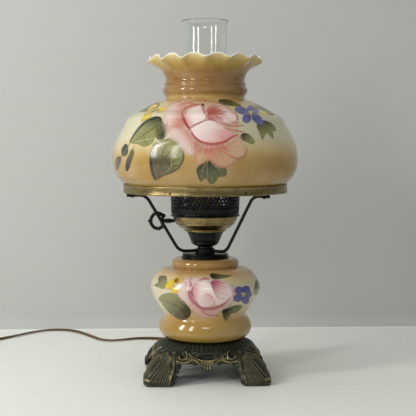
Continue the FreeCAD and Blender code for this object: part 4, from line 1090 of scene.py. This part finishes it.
def addRing(brass):
    r, low, high = ring["radius"], ring["bottom"], ring["top"]
    wall = r - ring["sheet"]
    ledge, floor = r - ring["ledge"], low + ring["sheet"]
    profile = [(ledge, low), (wall - 0.6, low), (r - 0.5, low + 0.2), (r, low + 0.8), (r, low + 2.0),
               (r - 0.2, low + 2.6), (r - 0.2, high - 3.2), (r, high - 2.4), (r + 0.3, high - 1.6),
               (r + 0.2, high - 0.7), (r - 0.4, high - 0.1), (wall - 0.1, high - 0.2),
               (wall - 0.5, high - 1.0), (wall - 0.1, high - 2.0), (wall, high - 3.0), (wall, low + 2.2),
               (wall - 0.8, floor), (ledge, floor)]
    turnedPiece("shadeRing", profile, "stand", brass, segments=720, warp=seamStep, slot="antique_brass",
                replaces=("shade_ring",))
    places, faces = [], []
    for k in range(ring["tabs"]):
        turn = math.radians(ring["firstTab"] + 360 * k / ring["tabs"])
        for up, half, out in ((2.4, 1.25, 0.15), (3.4, 1.15, 0.75), (4.8, 0.95, 0.95), (5.9, 0.6, 0.5)):
            for side in (-half, 0, half):
                reach = r - 0.3 + out * (1 if side == 0 else 0.55)
                x, y = reach, side
                places.append((x * math.cos(turn) - y * math.sin(turn),
                               x * math.sin(turn) + y * math.cos(turn), low + up))
        faces += gridFaces(4, 3, closedColumns=False, start=12 * k)
    # The tabs take the black finish. The black is painted shade: it stands for the dark slots that the lanced
    # tabs leave in the brass band.
    makePiece("ringTabsPaintedShade", places, faces, "stand", blackened, slot="antique_brass")


blackened = metalFinish("blackenedBrass", tone(17, 17, 13), tone(4, 6, 5), worn=0.25, roughness=0.1,
                        metallic=0.0, specular=0.25)
agedBrass = metalFinish("agedBrass", tone(150, 132, 90), tone(124, 110, 74), roughness=0.12, metallic=1.0,
                        grain=0.015, dent=0.08, spun=0.1)
addRing(agedBrass)
print("ring")

burner = {"foot": lowEnd("burner_cup"), "cupTop": highEnd("burner_cup"), "bowlTop": lowEnd("gallery"),
          "galleryTop": highEnd("gallery"), "sheet": 1.2}


def addBurner():
    z, cup = burner["foot"], burner["cupTop"]
    outline = [(5.0, z + 0.1), (11.2, z + 0.1), (12.3, z + 0.6), (12.6, z + 2.0), (12.0, z + 3.2),
               (12.8, z + 4.0), (15.2, z + 4.6), (18.4, z + 6.2), (20.3, z + 7.2), (20.6, z + 8.0),
               (20.1, z + 8.8), (21.8, z + 9.3), (22.6, z + 10.2), (22.3, z + 11.2), (22.6, z + 12.0),
               (23.6, z + 13.2), (24.8, z + 17.0), (26.4, z + 21.0), (28.2, z + 25.0), (29.2, z + 27.4),
               (28.8, z + 28.0)]
    inner = insideOf(outline[1:-1], burner["sheet"])[::-1]
    turnedPiece("burnerCup", smoothLine(np.concatenate([outline, inner]), 2), "stand", blackened,
                segments=144, slot="black_metal", replaces=("burner_cup",))
    skirt = [(25.2, cup), (32.2, cup), (33.0, cup + 0.5), (33.2, cup + 1.3), (32.6, cup + 2.1),
             (33.6, cup + 3.0), (36.5, cup + 4.2), (39.0, cup + 5.6), (41.8, cup + 7.8), (44.3, cup + 9.9),
             (45.6, cup + 10.9), (46.6, cup + 11.3), (47.0, cup + 12.0), (46.7, cup + 12.8),
             (47.6, cup + 14.2), (49.2, cup + 16.8), (50.6, cup + 20.0), (51.3, cup + 22.6),
             (51.5, cup + 23.9)]
    inner = insideOf(skirt[1:], burner["sheet"])[::-1]
    turnedPiece("burnerBowl", smoothLine(np.concatenate([skirt, inner]), 2), "stand", agedBrass,
                segments=180, slot="antique_brass", replaces=("burner_bowl",))


addBurner()
print("burner")

lace = {"columns": 52, "rows": 5, "low": 265.0, "high": 291.0, "wall": 1.2, "sides": 12,
        "holes": (2.0, 1.85, 1.4)}


def galleryRadius(z):
    return 53.0 + 1.7 * (z - burner["bowlTop"]) / (burner["galleryTop"] - burner["bowlTop"])


# One pierced cell of the lace: its rim, the round hole in it, and the thickness of the metal.
def laceCell(middle, up, width, tall, hole, places, faces):
    sides, start = lace["sides"], len(places)
    turns = (np.arange(sides) + 0.5) * 2 * math.pi / sides
    for depth in (0.0, lace["wall"]):
        for turn in turns:
            scale = 1 / max(abs(math.cos(turn)), abs(math.sin(turn)))
            x, z = width / 2 * math.cos(turn) * scale, tall / 2 * math.sin(turn) * scale
            places.append((galleryRadius(up + z) - depth + (0.35 if depth == 0 else 0), middle + x, up + z))
        for turn in turns:
            swell = 0.55 if depth == 0 else 0
            places.append((galleryRadius(up) - depth + swell, middle + (hole + 0.55) * math.cos(turn),
                           up + (hole + 0.55) * math.sin(turn)))
        for turn in turns:
            places.append((galleryRadius(up) - depth * 0.8 - 0.1, middle + hole * math.cos(turn),
                           up + hole * math.sin(turn)))
    for k in range(sides):
        after = (k + 1) % sides
        for low, high in ((0, 1), (1, 2), (2, 5), (5, 4), (4, 3)):
            faces.append([start + sides * low + k, start + sides * low + after,
                          start + sides * high + after, start + sides * high + k])


def addGallery():
    z, high = burner["bowlTop"], burner["galleryTop"]
    places, faces = [], []
    pitch = 2 * math.pi / lace["columns"]
    tall = (lace["high"] - lace["low"]) / lace["rows"]
    for row in range(lace["rows"]):
        up = lace["low"] + tall * (row + 0.5)
        width = pitch * galleryRadius(up)
        for column in range(lace["columns"]):
            open_ = lace["holes"][(column + 2 * row) % 3] * (1.0 if (column // 4 + row) % 5 else 0.6)
            laceCell((column + 0.5 * (row % 2)) * width, up, width, tall, open_, places, faces)
    wrapped = []
    for r, around, up in places:
        turn = around / galleryRadius(up)
        wrapped.append((r * math.cos(turn), r * math.sin(turn), up))
    makePiece("galleryLace", wrapped, faces, "stand", blackened, slot="black_metal")

    def ribs(radius, height, angle):
        outer = radius > galleryRadius(height) - 0.4
        wave = np.abs(np.sin(30 * angle)) ** 0.7 * np.clip((height - z - 3.4) / 2, 0, 1)
        return radius - outer * 0.9 * wave * (height < lace["low"] - 0.6), height

    low = lace["low"]
    skirt = [(36.8, z), (54.0, z), (55.0, z + 0.3), (55.2, z + 1.0), (54.7, z + 1.8), (53.7, z + 2.4),
             (53.3, z + 3.2), (53.4, z + 4.0), (53.6, z + 6), (53.7, z + 8), (53.9, z + 10),
             (54.5, low - 0.7), (54.2, low + 0.2), (52.3, low + 0.2), (52.0, z + 8), (51.8, z + 3.0),
             (51.2, z + 1.5), (36.8, z + 1.2)]
    turnedPiece("gallerySkirt", skirt, "stand", blackened, segments=360, warp=ribs, slot="black_metal",
                replaces=("gallery",))
    top = lace["high"]

    def crown(radius, height, angle):
        return radius, height - 0.5 * np.abs(np.sin(20 * angle)) * (height > high - 1.5)

    band = [(53.1, top - 0.2), (54.6, top - 0.2), (54.9, top + 0.5), (54.3, top + 1.2), (54.3, high - 1.2),
            (54.6, high - 0.5), (54.2, high), (53.4, high), (53.1, high - 1.0)]
    turnedPiece("galleryCrown", band, "stand", blackened, segments=240, warp=crown, slot="black_metal")


addGallery()
print("gallery")

key = {"centre": -75.6, "height": 244.5, "wire": 2.75, "bowlSide": -52.2}


def addKey():
    x, z = key["centre"], key["height"]
    turns = np.linspace(0, 2 * math.pi, 120, endpoint=False)
    wide, tall = 10.6, 12.3
    pinch = 2.6 * np.exp(-(((turns + math.pi) % (2 * math.pi) - math.pi) / 0.42) ** 2)
    lobes = 0.2 * np.cos(9 * turns)
    across = (wide + lobes - pinch * 1.6) * np.cos(turns)
    upward = (tall + lobes) * np.sin(turns) * (1 + 0.06 * np.cos(turns))
    line = np.stack([x + across, np.zeros(120), z + upward], 1)
    beads = 0.88 + 0.22 * np.abs(np.sin(6.5 * turns + 0.5)) ** 1.2
    sweptPiece("keyLoop", line, roundSection(key["wire"], 12), "key", blackened, size=beads, closed=True,
               slot="black_metal", replaces=("switch_key",))
    for up in (1, -1):
        curl = [(x + 9.0 - 4.2 * math.cos(t) * (1 - t / 9), 0,
                 z + up * (7.6 + 3.4 * math.sin(t) * (1 - t / 9))) for t in np.linspace(0, 5.2, 24)]
        sweptPiece("keyCurl" + ("Upper" if up > 0 else "Lower"), curl, roundSection(1.5, 10), "key",
                   blackened, size=np.linspace(1.15, 0.7, 24), slot="black_metal")
    count = 60
    along = np.linspace(x + 6.5, key["bowlSide"], count)
    stem = np.stack([along, np.zeros(count), np.full(count, z)], 1)
    beads = 1 + 0.34 * np.exp(-((along + 57.0) / 0.9) ** 2) + 0.34 * np.exp(-((along + 60.6) / 0.9) ** 2)
    sweptPiece("keyStem", stem, roundSection(3.1, 20, 4, 0.16), "key", blackened, size=beads,
               twist=along / 2.6, slot="black_metal")
    nub = np.array([(x - wide - 0.6 - t, 0, z) for t in (0, 0.8, 1.8, 2.8, 3.6, 4.2)])
    sweptPiece("keyNub", nub, roundSection(2.2, 14), "key", blackened,
               size=np.array([1, 0.7, 1.0, 1.05, 0.75, 0.2]), slot="black_metal")


addKey()
print("key")

cap = {"foot": highEnd("font"), "top": highEnd("font_cap"), "radius": 37.5}


def addCap():
    low, high, r = cap["foot"], cap["top"], cap["radius"]
    profile = [(5.2, high), (30, high), (r - 4.0, high - 0.1), (r - 1.9, high - 0.5), (r - 0.9, high - 1.2),
               (r - 0.9, high - 2.2), (r - 2.1, high - 2.8), (r - 2.5, high - 3.4), (r - 1.5, high - 4.0),
               (r - 0.3, high - 4.6), (r, high - 5.6), (r - 0.1, low + 0.8), (r - 0.9, low + 0.15),
               (r - 3.0, low + 0.1), (r - 3.2, low + 2.0), (r - 4.0, high - 2.2), (29.5, high - 3.4),
               (29.5, low - 5.8), (28.6, low - 5.8), (28.4, high - 2.4), (5.2, high - 2.0)]
    turnedPiece("fontCap", smoothLine(profile, 2), "stand", blackened, segments=144, slot="black_metal",
                replaces=("font_cap",))


addCap()

chimney = {"foot": lowEnd("chimney"), "top": highEnd("chimney"), "fitter": 38.1, "bulge": 48.8,
           "tube": 34.2, "lip": 36.7, "wall": 2.0}


def clearFinish():
    glass = Finish("clearGlass")
    smear = glass.noise(24, 4).between(0.55, 0.8)
    z = glass.height()
    hot = (z - (chimney["top"] - 24)).between(0, 24)
    colour = glass.mixed(smear * 0.5, tone(250, 252, 250), tone(236, 240, 236))
    return glass.surface(colour=glass.mixed(hot * 0.25, colour, tone(238, 242, 240)), transmission=1.0,
                         roughness=smear * 0.08 + 0.01, ior=1.45,
                         normal=glass.bump(glass.noise(30, 2), 0.05))


def addChimney():
    c = chimney
    f, b, t = c["fitter"], c["bulge"], c["tube"]
    outline = [(f, 0.8), (f, 14), (f, 27), (f + 2.2, 37), (f + 7.2, 53), (b - 0.5, 70), (b, 84),
               (b - 1.8, 102), (b - 6.5, 126), (t + 3.4, 150), (t + 0.8, 170), (t, 190), (t, 230), (t, 270),
               (t + 0.1, 290), (t + 0.9, 298.5), (c["lip"] - 0.2, 302.8)]
    outline = smoothLine(outline, 5)
    inner = insideOf(outline, c["wall"])[::-1]
    crown = [(c["lip"] - 0.6, 303.8), (c["lip"] - 1.3, 303.95)]
    foot = [(f - c["wall"] / 2, 0.0)]
    profile = np.concatenate([outline, crown, inner, foot]) + (0, c["foot"])
    turnedPiece("glassChimney", profile, "chimney", clearFinish(), segments=180, slot="clear_glass",
                replaces=("chimney",))


addChimney()
print("chimney")


# Two tones of one colour in clouds, for the parts that are carried over as they are.
def plainFinish(name, light, dark, size, roughness, metallic, depth, stretch=(1, 1, 1)):
    made = Finish(name)
    cloud = made.noise(size, 4, stretch=stretch)
    fine = made.noise(size / 8, 3, seed=3.0, stretch=stretch)
    colour = made.mixed(cloud.between(0.35, 0.68), dark, light)
    colour = made.mixed(fine.between(0.55, 0.8) * 0.3, colour, dark)
    return made.surface(colour=colour, roughness=roughness + fine * 0.15, metallic=metallic,
                        normal=made.bump(fine, depth, normal=made.bump(cloud, depth * 2)))


def frostedFinish():
    frost = Finish("frostedBulb")
    speck = frost.noise(0.8, 3)
    return frost.surface(colour=frost.mixed(speck.between(0.3, 0.7), tone(236, 236, 232),
                                            tone(250, 250, 248)), roughness=0.35 + speck * 0.15,
                         normal=frost.bump(speck, 0.03), subsurface=0.4, subsurfaceScale=0.004)


def feltFinish():
    felt = Finish("greenFelt")
    nap = felt.noise(0.5, 5, stretch=(1, 1, 3))
    return felt.surface(colour=felt.mixed(nap.between(0.3, 0.7), tone(38, 58, 44), tone(70, 92, 72)),
                        roughness=nap * 0.1 + 0.88, normal=felt.bump(nap, 0.2), sheen=0.4)


def cardFinish():
    card = Finish("insulatingCard")
    fibre = card.noise(0.8, 5, stretch=(1, 1, 6))
    return card.surface(colour=card.mixed(fibre.between(0.3, 0.7), tone(128, 96, 62), tone(172, 138, 98)),
                        roughness=fibre * 0.1 + 0.8, normal=card.bump(fibre, 0.08))


def finishNodes():
    screwBrass = plainFinish("spunBrass", tone(206, 174, 104), tone(164, 134, 76), 3.0, 0.22, 1.0, 0.02,
                             (1, 1, 0.2))
    steel = plainFinish("zincSteel", tone(176, 178, 176), tone(132, 136, 136), 2.5, 0.3, 1.0, 0.02)
    nickel = plainFinish("aluminiumThread", tone(204, 206, 206), tone(168, 170, 170), 2.0, 0.22, 1.0, 0.02)
    rubber = plainFinish("seatRubber", tone(48, 48, 46), tone(30, 30, 30), 2.0, 0.72, 0.0, 0.05)
    plugVinyl = plainFinish("plugVinyl", tone(96, 62, 38), tone(74, 46, 28), 6.0, 0.42, 0.0, 0.04)
    porcelain = plainFinish("phenolicCore", tone(54, 42, 34), tone(32, 26, 22), 3.0, 0.3, 0.0, 0.03)
    tiePlastic = plainFinish("tieStrap", tone(40, 36, 34), tone(26, 24, 22), 2.0, 0.45, 0.0, 0.03)
    wearing = {blackened: ("arm_hub", "switch_spindle", "arm_rivets", "shade_arm_1", "shade_arm_2",
                           "shade_arm_3", "burner_cup", "font_cap", "gallery", "switch_key",
                           "lead_bushing"), agedBrass: ("shade_ring", "burner_bowl", "chimney_holder"),
               screwBrass: ("socket_cap", "socket_shell", "screw_shell", "centre_contact", "plug_blades",
                            "bulb_contact"), steel: ("threaded_pipe", "base_nut", "base_washer"),
               nickel: ("bulb_screw_base",), rubber: ("font_seat_washer",),
               brownVinyl: ("lead", "lead_coil", "lead_tail", "inner_lead"), plugVinyl: ("plug_body",),
               porcelain: ("socket_core",), tiePlastic: ("coil_tie",), patina: ("base_casting",),
               feltFinish(): ("felt_pads",), cardFinish(): ("socket_sleeve",),
               frostedFinish(): ("bulb_glass",), bpy.data.materials["clearGlass"]: ("chimney",),
               bpy.data.materials["enamelledFontGlass"]: ("font",),
               bpy.data.materials["enamelledShadeGlass"]: ("shade_lower", "shade_upper", "shade_neck"), }
    dressed = {name for names in wearing.values() for name in names}
    print("finished nodes", len(dressed), "of", len(nodes), sorted(set(nodes) - dressed))
    for finish, names in wearing.items():
        for name in names:
            for slot in nodes[name].material_slots:
                slot.material = finish


finishNodes()
